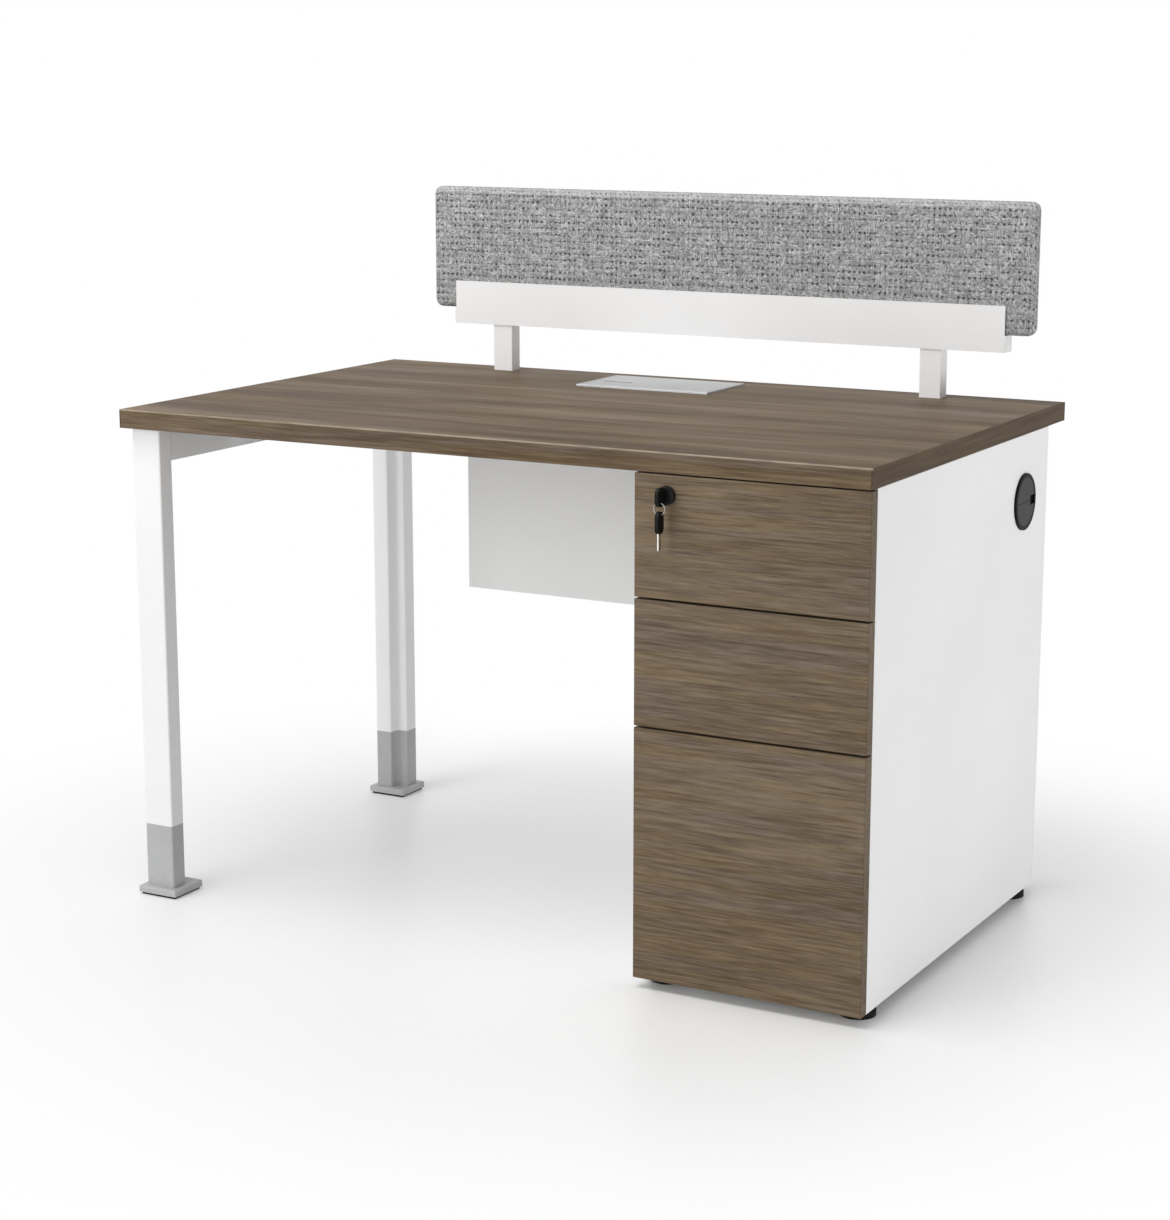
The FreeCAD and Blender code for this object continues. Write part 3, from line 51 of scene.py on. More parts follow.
class Look:
    """A procedural material, with the node's own coordinates in metres."""

    def __init__(self, name, **constants):
        self.material = bpy.data.materials.new(name)
        self.material.use_nodes = True
        self.tree = self.material.node_tree
        self.tree.nodes.clear()
        self.shader = self.tree.nodes.new("ShaderNodeBsdfPrincipled")
        self.output = self.tree.nodes.new("ShaderNodeOutputMaterial")
        self.put(self.output.inputs["Surface"], self.shader.outputs["BSDF"])
        self.place = self.tree.nodes.new("ShaderNodeTexCoord").outputs["Object"]
        for socket, value in constants.items():
            self.shader.inputs[socket.replace("_", " ")].default_value = value

    def put(self, socket, value):
        if isinstance(value, bpy.types.NodeSocket):
            self.tree.links.new(value, socket)
        else:
            socket.default_value = value

    def math(self, operation, *values):
        made = self.tree.nodes.new("ShaderNodeMath")
        made.operation = operation
        for socket, value in zip(made.inputs, values):
            self.put(socket, value)
        return made.outputs[0]

    def times(self, first, second):
        return self.math("MULTIPLY", first, second)

    def apart(self, value, middle):
        """How far a value is from the middle, whichever way."""
        return self.math("ABSOLUTE", self.math("SUBTRACT", value, middle))

    def total(self, parts):
        """Parts are pairs of a value and its weight."""
        added = 0.0
        for value, weight in parts:
            added = self.math("MULTIPLY_ADD", value, weight, added)
        return added

    def axes(self, vector=None):
        split = self.tree.nodes.new("ShaderNodeSeparateXYZ")
        self.put(split.inputs[0], vector or self.place)
        return split.outputs[0], split.outputs[1], split.outputs[2]

    def vector(self, x, y, z):
        made = self.tree.nodes.new("ShaderNodeCombineXYZ")
        for socket, value in zip(made.inputs, (x, y, z)):
            self.put(socket, value)
        return made.outputs[0]

    def stretched(self, scale, shift=(0, 0, 0), vector=None):
        made = self.tree.nodes.new("ShaderNodeMapping")
        self.put(made.inputs["Vector"], vector or self.place)
        made.inputs["Scale"].default_value = scale
        made.inputs["Location"].default_value = shift
        return made.outputs[0]

    def noise(self, vector, scale=1.0, detail=2.0, roughness=0.5):
        made = self.tree.nodes.new("ShaderNodeTexNoise")
        self.put(made.inputs["Vector"], vector)
        made.inputs["Scale"].default_value = scale
        made.inputs["Detail"].default_value = detail
        made.inputs["Roughness"].default_value = roughness
        return made.outputs[0]

    def cells(self, vector):
        """A fixed colour for each cell, with cells about one unit across."""
        made = self.tree.nodes.new("ShaderNodeTexVoronoi")
        self.put(made.inputs["Vector"], vector)
        made.inputs["Scale"].default_value = 1.0
        return made.outputs["Color"]

    def chance(self, x, y, z):
        """A fixed number from nought to one for each whole-numbered place."""
        made = self.tree.nodes.new("ShaderNodeTexWhiteNoise")
        self.put(made.inputs["Vector"], self.vector(x, y, z))
        return made.outputs["Value"]

    def between(self, value, low, high, start=0.0, end=1.0):
        """Start below low, end above high, and smooth between them."""
        made = self.tree.nodes.new("ShaderNodeMapRange")
        made.interpolation_type = "SMOOTHSTEP"
        limits = {"From Min": low, "From Max": high, "To Min": start, "To Max": end}
        for name, number in limits.items():
            made.inputs[name].default_value = number
        self.put(made.inputs["Value"], value)
        return made.outputs["Result"]

    def inside(self, value, low, high, soft):
        """One between low and high, and nought outside, with soft borders."""
        rising = self.between(value, low - soft, low + soft)
        falling = self.between(value, high - soft, high + soft, 1.0, 0.0)
        return self.times(rising, falling)

    def ramp(self, value, stops):
        made = self.tree.nodes.new("ShaderNodeValToRGB")
        self.put(made.inputs["Fac"], value)
        elements = made.color_ramp.elements
        while len(elements) < len(stops):
            elements.new(0.5)
        for element, (position, colour) in zip(elements, stops):
            element.position = position
            element.color = (*colour, 1.0)
        return made.outputs["Color"]

    def mixed(self, share, first, second, blend="MIX"):
        made = self.tree.nodes.new("ShaderNodeMix")
        made.data_type = "RGBA"
        made.blend_type = blend
        self.put(made.inputs[0], share)
        for socket, value in ((made.inputs[6], first), (made.inputs[7], second)):
            self.put(socket, value if isinstance(value, bpy.types.NodeSocket) else (*value, 1.0))
        return made.outputs[2]

    def colour(self, value):
        self.put(self.shader.inputs["Base Color"], value)

    def roughness(self, value):
        self.put(self.shader.inputs["Roughness"], value)

    def relief(self, height, depth, strength=1.0):
        made = self.tree.nodes.new("ShaderNodeBump")
        made.inputs["Strength"].default_value = strength
        made.inputs["Distance"].default_value = depth
        self.put(made.inputs["Height"], height)
        self.put(self.shader.inputs["Normal"], made.outputs["Normal"])


def grey(level):
    return (level, level, level)


def tinted(level, tint):
    return tuple(level * channel for channel in tint)


# Wood laminate: long straight streaks, soft patches, thin dark veins and pores
WOOD_STOPS = [
    (0.0, (0.078, 0.054, 0.034)), (0.3, (0.110, 0.079, 0.051)), (0.5, (0.134, 0.099, 0.066)),
    (0.72, (0.159, 0.120, 0.081)), (1.0, (0.206, 0.161, 0.114))]
WOOD_DARK = (0.047, 0.032, 0.020)
WOOD_WARM = (1.04, 1.0, 0.88)
WOOD_COOL = (0.97, 0.965, 1.05)
WOOD_PAINTED_HIGHLIGHT = (0.40, 0.335, 0.255)
STREAK_SHARE = 0.46
FIBRE_SHARE = 0.24
TONE_SPREAD = 0.17
GRAIN_SWAY = 0.008
RIM_WIDTH = 0.0012
RIM_SOFT = 0.0004
HIGHLIGHT_WIDTH = 0.0016
HIGHLIGHT_LOWEST = 0.0023
HIGHLIGHT_DEEPEST = 0.0024


def wood(name, shift, patchy=0.2, gloss=0.14, pale=0.0, short=1.0, fine=1.0,
         line=None, ends=None, frame_box=None):
    """Laminate with its grain along x.

    Short and fine say how many times shorter and thinner the streaks are than on the top. Line
    is the top and the front of the edge that gets a painted highlight, ends is how far out the
    end strips start, which are darkened as painted shade, and frame_box is the box of a front
    with a darker rim.
    """
    look = Look(name, Specular_IOR_Level=gloss)
    x, y, z = look.axes()
    grain = look.place
    if ends:
        # the strips on the two ends have their grain along the strip
        on_end = look.math("GREATER_THAN", look.math("ABSOLUTE", x), ends)
        turned = look.tree.nodes.new("ShaderNodeMix")
        turned.data_type = "VECTOR"
        look.put(turned.inputs[0], on_end)
        look.put(turned.inputs[4], look.place)
        look.put(turned.inputs[5], look.vector(y, x, z))
        grain = turned.outputs[1]
    sway = look.noise(look.stretched((2.4, 6.0, 6.0), shift, grain), detail=1.0)
    gx, gy, gz = look.axes(grain)
    bend = look.times(look.math("SUBTRACT", sway, 0.5), GRAIN_SWAY)
    bent = look.vector(gx, look.math("ADD", gy, bend), look.math("ADD", gz, bend))

    def layer(along, across, detail, roughness=0.5, moved=shift):
        """Noise with its own scale along the grain and across it."""
        stretched = look.stretched((along, across, across), moved, bent)
        return look.noise(stretched, detail=detail, roughness=roughness)

    patches = layer(1.5 * short, 17.0, detail=2.0)
    streaks = layer(6.0 * short, 150.0 * fine, detail=3.0, roughness=0.6)
    fibres = layer(15.0 * short, 470.0, detail=2.0, roughness=0.6)
    veins = look.between(layer(5.5, 270.0, detail=1.0), 0.6, 0.72)
    pores = look.between(layer(50.0, 1700.0, detail=1.0), 0.6, 0.72)
    hue = layer(2.8, 52.0, detail=2.0, moved=(shift[0] + 4.0, shift[1], shift[2]))
    tone = look.total([(patches, patchy), (streaks, STREAK_SHARE), (fibres, FIBRE_SHARE)])
    middle = 0.5 * (patchy + STREAK_SHARE + FIBRE_SHARE) - pale
    colour = look.ramp(look.between(tone, middle - TONE_SPREAD, middle + TONE_SPREAD), WOOD_STOPS)
    tint = look.mixed(look.between(hue, 0.34, 0.66), WOOD_WARM, WOOD_COOL)
    colour = look.mixed(1.0, colour, tint, "MULTIPLY")
    marks = look.math("MAXIMUM", look.times(veins, 0.34), look.times(pores, 0.26))
    colour = look.mixed(marks, colour, WOOD_DARK)
    # painted shade: the end strips are darkened, standing in for the shade on the end faces
    if ends:
        colour = look.mixed(look.times(on_end, 0.55), colour, WOOD_DARK)
    if frame_box:
        low, high = frame_box
        rim_x = look.inside(x, low.x + RIM_WIDTH, high.x - RIM_WIDTH, RIM_SOFT)
        rim_z = look.inside(z, low.z + RIM_WIDTH, high.z - RIM_WIDTH, RIM_SOFT)
        rim = look.math("SUBTRACT", 1.0, look.times(rim_x, rim_z))
        colour = look.mixed(look.times(rim, 0.22), colour, WOOD_DARK)
    if line:
        # painted highlight: a pale line along the upper front edge, where the rounded edge would
        # catch the light
        top, front = line
        painted_highlight = look.times(
            look.between(z, top - HIGHLIGHT_LOWEST, top - HIGHLIGHT_WIDTH),
            look.between(y, front + HIGHLIGHT_WIDTH, front + HIGHLIGHT_DEEPEST, 1.0, 0.0))
        mottled = look.noise(look.stretched((24.0, 60.0, 60.0), shift), detail=3.0)
        painted_highlight = look.times(painted_highlight, look.between(mottled, 0.25, 0.7, 0.4, 0.8))
        colour = look.mixed(painted_highlight, colour, WOOD_PAINTED_HIGHLIGHT)
    look.colour(colour)
    look.roughness(look.total([(streaks, 0.16), (pores, 0.1), (1.0, 0.44)]))
    height = look.total([(fibres, 0.5), (streaks, 0.3), (veins, -0.3), (pores, -0.6)])
    look.relief(height, depth=0.00014, strength=0.5)
    return look.material


# Painted steel, with the fine orange peel of powder coat
def powder_coat(name, level, tint):
    look = Look(name)
    clouds = look.noise(look.place, scale=5.0, detail=3.0)
    peel = look.noise(look.place, scale=520.0, detail=2.0)
    dust = look.noise(look.place, scale=2600.0, detail=1.0)
    shade = look.between(look.total([(clouds, 0.8), (dust, 0.2)]), 0.3, 0.7)
    look.colour(look.mixed(shade, tinted(level * 0.965, tint), tinted(level * 1.02, tint)))
    look.roughness(look.total([(peel, 0.12), (clouds, 0.06), (1.0, 0.33)]))
    look.relief(look.total([(peel, 0.8), (dust, 0.2)]), depth=0.00022, strength=0.35)
    return look.material


# White melamine board, with its pearl print and pressed texture
def melamine(name, level):
    look = Look(name)
    clouds = look.noise(look.place, scale=3.5, detail=4.0)
    pearl = look.noise(look.place, scale=900.0, detail=3.0, roughness=0.6)
    specks = look.noise(look.place, scale=2400.0, detail=1.0)
    print_tone = look.total([(clouds, 0.55), (pearl, 0.3), (specks, 0.15)])
    low = tinted(level, (0.96, 0.96, 0.955))
    high = tinted(level, (1.015, 1.015, 1.01))
    look.colour(look.mixed(look.between(print_tone, 0.32, 0.68), low, high))
    look.roughness(look.total([(pearl, 0.16), (clouds, 0.05), (1.0, 0.38)]))
    look.relief(pearl, depth=0.00012, strength=0.4)
    return look.material


# Cast foot sleeves in grey paint, faintly grained
def casting(name):
    look = Look(name)
    clouds = look.noise(look.place, scale=22.0, detail=4.0)
    grain = look.noise(look.place, scale=640.0, detail=3.0, roughness=0.6)
    shade = look.between(look.total([(clouds, 0.45), (grain, 0.55)]), 0.3, 0.7)
    look.colour(look.mixed(shade, (0.385, 0.388, 0.394), (0.46, 0.463, 0.468)))
    look.roughness(look.total([(grain, 0.2), (1.0, 0.36)]))
    look.relief(grain, depth=0.00025, strength=0.5)
    return look.material


# Zinc-plated or nickelled steel, with drawn scratches along one axis
SCRATCHES_ACROSS = 420.0
SCRATCHES_ALONG = 14.0


def plated(name, level, tint, rough, along):
    look = Look(name, Metallic=1.0)
    stretch = tuple(SCRATCHES_ALONG if axis == along else SCRATCHES_ACROSS for axis in "xyz")
    drawn = look.noise(look.stretched(stretch), detail=4.0, roughness=0.65)
    clouds = look.noise(look.place, scale=38.0, detail=3.0)
    shade = look.between(look.total([(drawn, 0.6), (clouds, 0.4)]), 0.32, 0.68)
    look.colour(look.mixed(shade, tinted(level * 0.84, tint), tinted(level * 1.08, tint)))
    look.roughness(look.total([(drawn, 0.18), (clouds, 0.12), (1.0, rough - 0.15)]))
    look.relief(drawn, depth=0.00008, strength=0.4)
    return look.material


# Bare aluminium, brushed from left to right, with painted shade in the finger groove
def aluminium(name, groove=None):
    look = Look(name, Metallic=1.0)
    brushed = look.noise(look.stretched((9.0, 900.0, 900.0)), detail=4.0, roughness=0.7)
    clouds = look.noise(look.place, scale=11.0, detail=3.0)
    shade = look.between(look.total([(brushed, 0.6), (clouds, 0.4)]), 0.3, 0.7)
    colour = look.mixed(shade, (0.40, 0.402, 0.408), (0.53, 0.532, 0.536))
    if groove:
        low, high = groove
        x, y, z = look.axes()
        # painted shade: the groove's sunken faces are painted near-black
        sunk = look.between(z, high[2] - 0.00012, high[2] - 0.00002, 1.0, 0.0)
        across = look.times(look.inside(x, low[0], high[0], 0.0002),
                            look.inside(y, low[1], high[1], 0.0002))
        colour = look.mixed(look.times(sunk, across), colour, grey(0.035))
    look.colour(colour)
    look.roughness(look.total([(brushed, 0.2), (clouds, 0.1), (1.0, 0.32)]))
    look.relief(brushed, depth=0.00006, strength=0.45)
    return look.material


# Moulded plastic with a spark-eroded grain
def moulded(name, level, rough, grain_scale=1500.0, gloss=0.5):
    look = Look(name, Specular_IOR_Level=gloss)
    grain = look.noise(look.place, scale=grain_scale, detail=2.0, roughness=0.55)
    clouds = look.noise(look.place, scale=45.0, detail=3.0)
    shade = look.between(look.total([(grain, 0.5), (clouds, 0.5)]), 0.3, 0.7)
    look.colour(look.mixed(shade, grey(level * 0.86), grey(level * 1.14)))
    look.roughness(look.total([(grain, 0.18), (clouds, 0.1), (1.0, rough - 0.14)]))
    look.relief(grain, depth=0.00009, strength=0.5)
    return look.material


# Chipboard core of the screen
def chipboard(name):
    look = Look(name)
    chips = look.cells(look.stretched((60.0, 260.0, 160.0)))
    dust = look.noise(look.place, scale=800.0, detail=3.0)
    shade = look.total([(chips, 0.6), (dust, 0.4)])
    look.colour(look.ramp(shade, [(0.2, (0.27, 0.18, 0.1)), (0.8, (0.56, 0.42, 0.27))]))
    look.roughness(look.between(dust, 0.2, 0.8, 0.75, 0.92))
    look.relief(shade, depth=0.0004, strength=0.6)
    return look.material


# Screen cloth: a coarse weave of mottled grey yarn, with dark pinholes in rows and columns
WEAVE_WIDE = 0.0086
WEAVE_TALL = 0.0101
HOLE_WIDE = 0.0023
HOLE_TALL = 0.0021
HEM_AND_HIGHLIGHT_LOW = 0.0115
HEM_AND_HIGHLIGHT_HIGH = 0.0095
CLOTH_STOPS = [
    (0.0, (0.150, 0.151, 0.153)), (0.42, (0.315, 0.316, 0.318)),
    (0.66, (0.405, 0.405, 0.406)), (1.0, (0.640, 0.640, 0.638))]


def cloth(name, top):
    look = Look(name, Sheen_Weight=0.15, Sheen_Roughness=0.5, Specular_IOR_Level=0.12)
    x, y, z = look.axes()
    # u and v count the weave's gaps sideways and upwards, off says how far the nearest one is
    wobble = look.math("SUBTRACT", look.noise(look.place, scale=26.0, detail=2.0), 0.5)
    slow = look.math("SUBTRACT", look.noise(look.place, scale=6.0, detail=1.0), 0.5)
    u = look.total([(x, 1 / WEAVE_WIDE), (y, 1 / WEAVE_WIDE), (wobble, 0.7), (slow, 0.6)])
    v = look.total([(z, 1 / WEAVE_TALL), (y, 1 / WEAVE_TALL), (wobble, 0.24), (slow, 0.4)])
    near_u = look.math("ROUND", u)
    near_v = look.math("ROUND", v)
    off_u = look.times(look.apart(u, near_u), WEAVE_WIDE)
    off_v = look.times(look.apart(v, near_v), WEAVE_TALL)
    flecks = look.noise(look.place, scale=360.0, detail=2.0, roughness=0.65)
    frayed = look.math("SUBTRACT", flecks, 0.5)
    # pinholes where a row and a column cross, some left out
    away_u = look.math("POWER", look.math("DIVIDE", off_u, HOLE_WIDE), 2.0)
    away_v = look.math("POWER", look.math("DIVIDE", off_v, HOLE_TALL), 2.0)
    away = look.total([(away_u, 1.0), (away_v, 1.0), (frayed, 4.5)])
    spread = look.between(look.noise(look.place, scale=38.0, detail=2.0), 0.36, 0.54)
    holes = look.times(look.between(away, 0.3, 1.5, 1.0, 0.0),
                       look.between(look.chance(near_u, near_v, 3.7), 0.1, 0.5))
    holes = look.times(holes, look.between(spread, 0.0, 1.0, 0.52, 1.0))
    # darker runs along some rows and columns
    run_u = look.math("FLOOR", look.times(u, 0.4))
    run_v = look.math("FLOOR", look.times(v, 0.3))
    rows = look.times(look.between(off_v, 0.0003, 0.0011, 1.0, 0.0),
                      look.between(look.chance(run_u, near_v, 1.3), 0.45, 0.85))
    columns = look.times(look.between(off_u, 0.0003, 0.001, 1.0, 0.0),
                         look.between(look.chance(near_u, run_v, 7.1), 0.5, 0.9))
    # yarn that lies or stands from step to step, with pale slubs
    step_u = look.math("FLOOR", u)
    step_v = look.math("FLOOR", v)
    lies = look.math("GREATER_THAN", look.chance(step_u, step_v, 5.9), 0.5)
    lying = look.noise(look.stretched((150.0, 500.0, 560.0)), detail=2.0, roughness=0.6)
    standing = look.noise(look.stretched((560.0, 500.0, 150.0), (3.1, 0.7, 1.9)),
                          detail=2.0, roughness=0.6)
    yarn = look.math("ADD", look.times(lying, lies),
                     look.times(standing, look.math("SUBTRACT", 1.0, lies)))
    patches = look.noise(look.place, scale=60.0, detail=2.0)
    slubs = look.times(look.between(look.chance(step_u, step_v, 9.4), 0.76, 0.9),
                       look.between(yarn, 0.45, 0.62))
    tone = look.total([(yarn, 0.5), (flecks, 0.36), (patches, 0.14)])
    colour = look.ramp(look.between(tone, 0.335, 0.675), CLOTH_STOPS)
    colour = look.mixed(look.times(slubs, 0.38), colour, grey(0.66))
    colour = look.mixed(look.times(rows, 0.46), colour, grey(0.115))
    colour = look.mixed(look.times(columns, 0.36), colour, grey(0.125))
    colour = look.mixed(look.times(holes, 0.92), colour, grey(0.05))
    # a paler band along the top: partly the hem, partly a painted highlight where the rounded top
    # edge would catch the light
    hem_and_highlight = look.between(z, top - HEM_AND_HIGHLIGHT_LOW, top - HEM_AND_HIGHLIGHT_HIGH, 0.0, 0.24)
    look.colour(look.mixed(hem_and_highlight, colour, grey(0.58)))
    look.roughness(look.between(yarn, 0.2, 0.8, 0.82, 0.95))
    hill_u = look.between(off_u, 0.0, 0.5 * WEAVE_WIDE)
    hill_v = look.between(off_v, 0.0, 0.5 * WEAVE_TALL)
    height = look.total([(hill_u, 0.4), (hill_v, 0.5), (yarn, 0.5), (holes, -0.6), (slubs, 0.3)])
    look.relief(height, depth=0.0006, strength=0.6)
    return look.material


def dress(material, *names):
    for name in names:
        thing = nodes[name]
        thing.data.materials.clear()
        thing.data.materials.append(material)


# Wood: the top, its edging and the drawer fronts
edge_low, edge_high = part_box("desktop_edging")
dress(wood("wood_top", (0, 0, 0), patchy=0.6, gloss=0.06), "desktop")
strip = wood("wood_edging", (0.4, 0.1, 0.2), gloss=0.06, line=(edge_high.z, edge_low.y),
             ends=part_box("desktop")[1].x)
dress(strip, "desktop_edging")
for number, drawer in enumerate(("top", "middle", "file")):
    front = f"drawer_{drawer}_front"
    board = wood(f"wood_{drawer}", (1.7 * number + 0.9, 0.3, 2.3 * number), pale=0.028,
                 short=1.7, fine=1.45, frame_box=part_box(front))
    dress(board, front)

# All other nodes by their material slot, then the ones that differ from their slot
NICKEL = (1.0, 0.985, 0.955)
slot_nodes = {entry["slot"]: [] for entry in frame["record"]["materials"]}
for subpart in frame["record"]["subparts"]:
    slot_nodes[subpart["material_slot"]].append(subpart["node"])
dress(powder_coat("white_powder_coat", level=0.83, tint=(1.0, 1.0, 1.003)),
      *slot_nodes["white_steel"])
dress(melamine("white_melamine", level=0.81), *slot_nodes["white_board"])
dress(casting("grey_casting_paint"), *slot_nodes["grey_casting"])
dress(moulded("black_rubber_pad", level=0.008, rough=0.78, grain_scale=900.0, gloss=0.15),
      *slot_nodes["black_rubber"])
dress(plated("zinc_plate", level=0.56, tint=(1.0, 1.0, 1.01), rough=0.36, along="y"),
      *slot_nodes["bright_steel"])
dress(plated("nickel_plate", level=0.76, tint=NICKEL, rough=0.24, along="z"),
      "key_blade", "spare_key_blade")
dress(plated("dull_nickel_plate", level=0.42, tint=NICKEL, rough=0.34, along="z"), "key_ring")
dress(moulded("black_lock_paint", level=0.007, rough=0.42, grain_scale=2200.0, gloss=0.3),
      *slot_nodes["black_lock"])
dress(moulded("black_moulding", level=0.019, rough=0.6, gloss=0.22), *slot_nodes["black_plastic"])
glides = [name for name in slot_nodes["black_plastic"] if name.startswith("glide_")]
dress(moulded("black_rim_moulding", level=0.004, rough=0.55, gloss=0.12), "grommet_ring", *glides)
dress(moulded("black_cap_moulding", level=0.03, rough=0.6, gloss=0.25), "grommet_cap")
dress(moulded("key_bow_moulding", level=0.005, rough=0.45, gloss=0.12), "key_bow", "spare_key_bow")
dress(moulded("white_moulding", level=0.8, rough=0.44), *slot_nodes["white_plastic"])
dress(chipboard("core_chipboard"), *slot_nodes["core_board"])
dress(aluminium("brushed_frame"), "cable_box_frame")

GROOVE_LEFT_OF_MIDDLE = 0.095
GROOVE_FROM_FRONT = 0.046
GROOVE_LENGTH = 0.052
GROOVE_WIDTH = 0.006
lid_low, lid_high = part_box("cable_box_lid")
groove_x = (lid_low.x + lid_high.x) / 2 - GROOVE_LEFT_OF_MIDDLE
groove_y = lid_low.y + GROOVE_FROM_FRONT
groove_end = (groove_x + GROOVE_LENGTH, groove_y + GROOVE_WIDTH, lid_high.z)
dress(aluminium("brushed_lid", ((groove_x, groove_y, 0.0), groove_end)), "cable_box_lid")

# The padded screen: foam and cloth round the core, swollen by its filling and held in the rail
PAD_CORNER = 0.013
PAD_EDGE = 0.008
PAD_SPARE = 0.0004
PAD_STEP = 0.007
CORNER_STEPS = 3
EDGE_TURNS = [math.radians(angle) for angle in (22.5, 45.0, 67.5, 90.0)]
RAIL_REACH = 0.014
RAIL_FADE = 0.012
SWELL_FRAMES = 20
SWELL_MOST = 0.0016
WEAVE_HEIGHT = 0.0003
PRESSED_SHARE = 0.6


def spaced(length, corner):
    """Places along a side: close together in the corners, about a step apart between them."""
    near = [corner * step / CORNER_STEPS for step in range(CORNER_STEPS + 1)]
    middle = length - 2 * corner
    count = round(middle / PAD_STEP)
    between = [corner + middle * step / count for step in range(1, count)]
    return near + between + [length - place for place in reversed(near)]


def screen_solid(low, high, corner, edge, thin):
    """A closed slab of quads with round corners and edges, thinner all round than its box."""
    mesh = bpy.data.meshes.new("screen_pad")
    form = bmesh.new()
    round_in = corner - edge
    start_x, start_z = low.x + thin + edge, low.z + thin + edge
    wide, tall = high.x - low.x - 2 * (thin + edge), high.z - low.z - 2 * (thin + edge)
    across, up = spaced(wide, round_in), spaced(tall, round_in)
    last_i, last_k = len(across) - 1, len(up) - 1
    middle = (low.y + high.y) / 2
    half = (high.y - low.y) / 2 - thin

    def corner_share(place, length):
        """How far a place is into the corner at either end, signed, and that corner's middle."""
        if place < round_in:
            return (place - round_in) / round_in, round_in
        if place > length - round_in:
            return (place - length + round_in) / round_in, length - round_in
        return 0.0, place

    grid = {}
    borders = {}
    for side in (-1, 1):
        for i, a in enumerate(across):
            for k, b in enumerate(up):
                share_a, middle_a = corner_share(a, wide)
                share_b, middle_b = corner_share(b, tall)
                shrink = 1.0
                if share_a and share_b:
                    shrink = max(abs(share_a), abs(share_b)) / math.hypot(share_a, share_b)
                place_a = middle_a + share_a * shrink * round_in
                place_b = middle_b + share_b * shrink * round_in
                point = (start_x + place_a, middle + side * half, start_z + place_b)
                grid[side, i, k] = form.verts.new(point)
                if share_a and share_b:
                    borders[i, k] = Vector((share_a, 0.0, share_b)).normalized()
                elif i in (0, last_i):
                    borders[i, k] = Vector((-1.0 if i == 0 else 1.0, 0.0, 0.0))
                elif k in (0, last_k):
                    borders[i, k] = Vector((0.0, 0.0, -1.0 if k == 0 else 1.0))
        for i in range(last_i):
            for k in range(last_k):
                around = ((i, k), (i + 1, k), (i + 1, k + 1), (i, k + 1))
                quad = [grid[side, a, b] for a, b in around]
                form.faces.new(quad if side < 0 else list(reversed(quad)))
    walk = [(i, 0) for i in range(last_i)] + [(last_i, k) for k in range(last_k)]
    walk += [(i, last_k) for i in range(last_i, 0, -1)] + [(0, k) for k in range(last_k, 0, -1)]
    rings = [[grid[-1, i, k] for i, k in walk]]
    for side, angles in ((-1, EDGE_TURNS), (1, list(reversed(EDGE_TURNS)))):
        for angle in angles:
            depth = middle + side * (half - edge * (1 - math.cos(angle)))
            ring = []
            for i, k in walk:
                place = grid[-1, i, k].co + borders[i, k] * edge * math.sin(angle)
                ring.append(form.verts.new((place.x, depth, place.z)))
            rings.append(ring)
    rings.append([grid[1, i, k] for i, k in walk])
    for before, after in zip(rings, rings[1:]):
        for n in range(len(walk)):
            following = (n + 1) % len(walk)
            form.faces.new((before[following], before[n], after[n], after[following]))
    bmesh.ops.recalc_face_normals(form, faces=form.faces)
    form.to_mesh(mesh)
    form.free()
    return mesh


def apply_modifiers(thing):
    """The mesh as its modifiers leave it, with none of them kept."""
    bpy.context.view_layer.update()
    shaped = thing.evaluated_get(bpy.context.evaluated_depsgraph_get())
    mesh = bpy.data.meshes.new_from_object(shaped)
    thing.modifiers.clear()
    thing.data = mesh


fabric_low, fabric_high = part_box("screen_fabric")
rail_low, rail_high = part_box("screen_rail")
pad_mesh = screen_solid(fabric_low, fabric_high, PAD_CORNER, PAD_EDGE, PAD_SPARE)
screen = bpy.data.objects.new("screen_pad", pad_mesh)
bpy.context.scene.collection.objects.link(screen)


def in_rail(point):
    """One inside the rail's slot, nought clear of it."""
    above = min(max((rail_high.z + RAIL_REACH - point.z) / RAIL_FADE, 0.0), 1.0)
    off = abs(point.x - 0.5 * (rail_high.x + rail_low.x))
    half = 0.5 * (rail_high.x - rail_low.x)
    beside = min(max((half + RAIL_REACH - off) / RAIL_FADE, 0.0), 1.0)
    return above * beside


rest = [vertex.co.copy() for vertex in screen.data.vertices]
rest_facing = [vertex.normal.copy() for vertex in screen.data.vertices]
held = screen.vertex_groups.new(name="held")
for index, point in enumerate(rest):
    held.add([index], in_rail(point), "REPLACE")
swell = screen.modifiers.new("swell", "CLOTH")
swell.settings.quality = 5
swell.settings.mass = 0.25
swell.settings.use_pressure = True
swell.settings.uniform_pressure_force = 4.0
swell.settings.tension_stiffness = 40.0
swell.settings.compression_stiffness = 40.0
swell.settings.bending_stiffness = 6.0
swell.settings.vertex_group_mass = "held"
swell.settings.effector_weights.gravity = 0.0
swell.collision_settings.use_collision = False
swell.point_cache.frame_start = 1
swell.point_cache.frame_end = SWELL_FRAMES
for moment in range(1, SWELL_FRAMES + 1):
    bpy.context.scene.frame_set(moment)
apply_modifiers(screen)
bpy.context.scene.frame_set(1)
for vertex, start, outward in zip(screen.data.vertices, rest, rest_facing):
    # the core holds the pad out, and its stuffing goes only so far
    swollen = (vertex.co - start).dot(outward)
    most = SWELL_MOST * (1 - in_rail(start))
    vertex.co = start + outward * min(max(swollen, 0.0), most)
smooth = screen.modifiers.new("round", "SUBSURF")
smooth.levels = 2
smooth.render_levels = 2
apply_modifiers(screen)

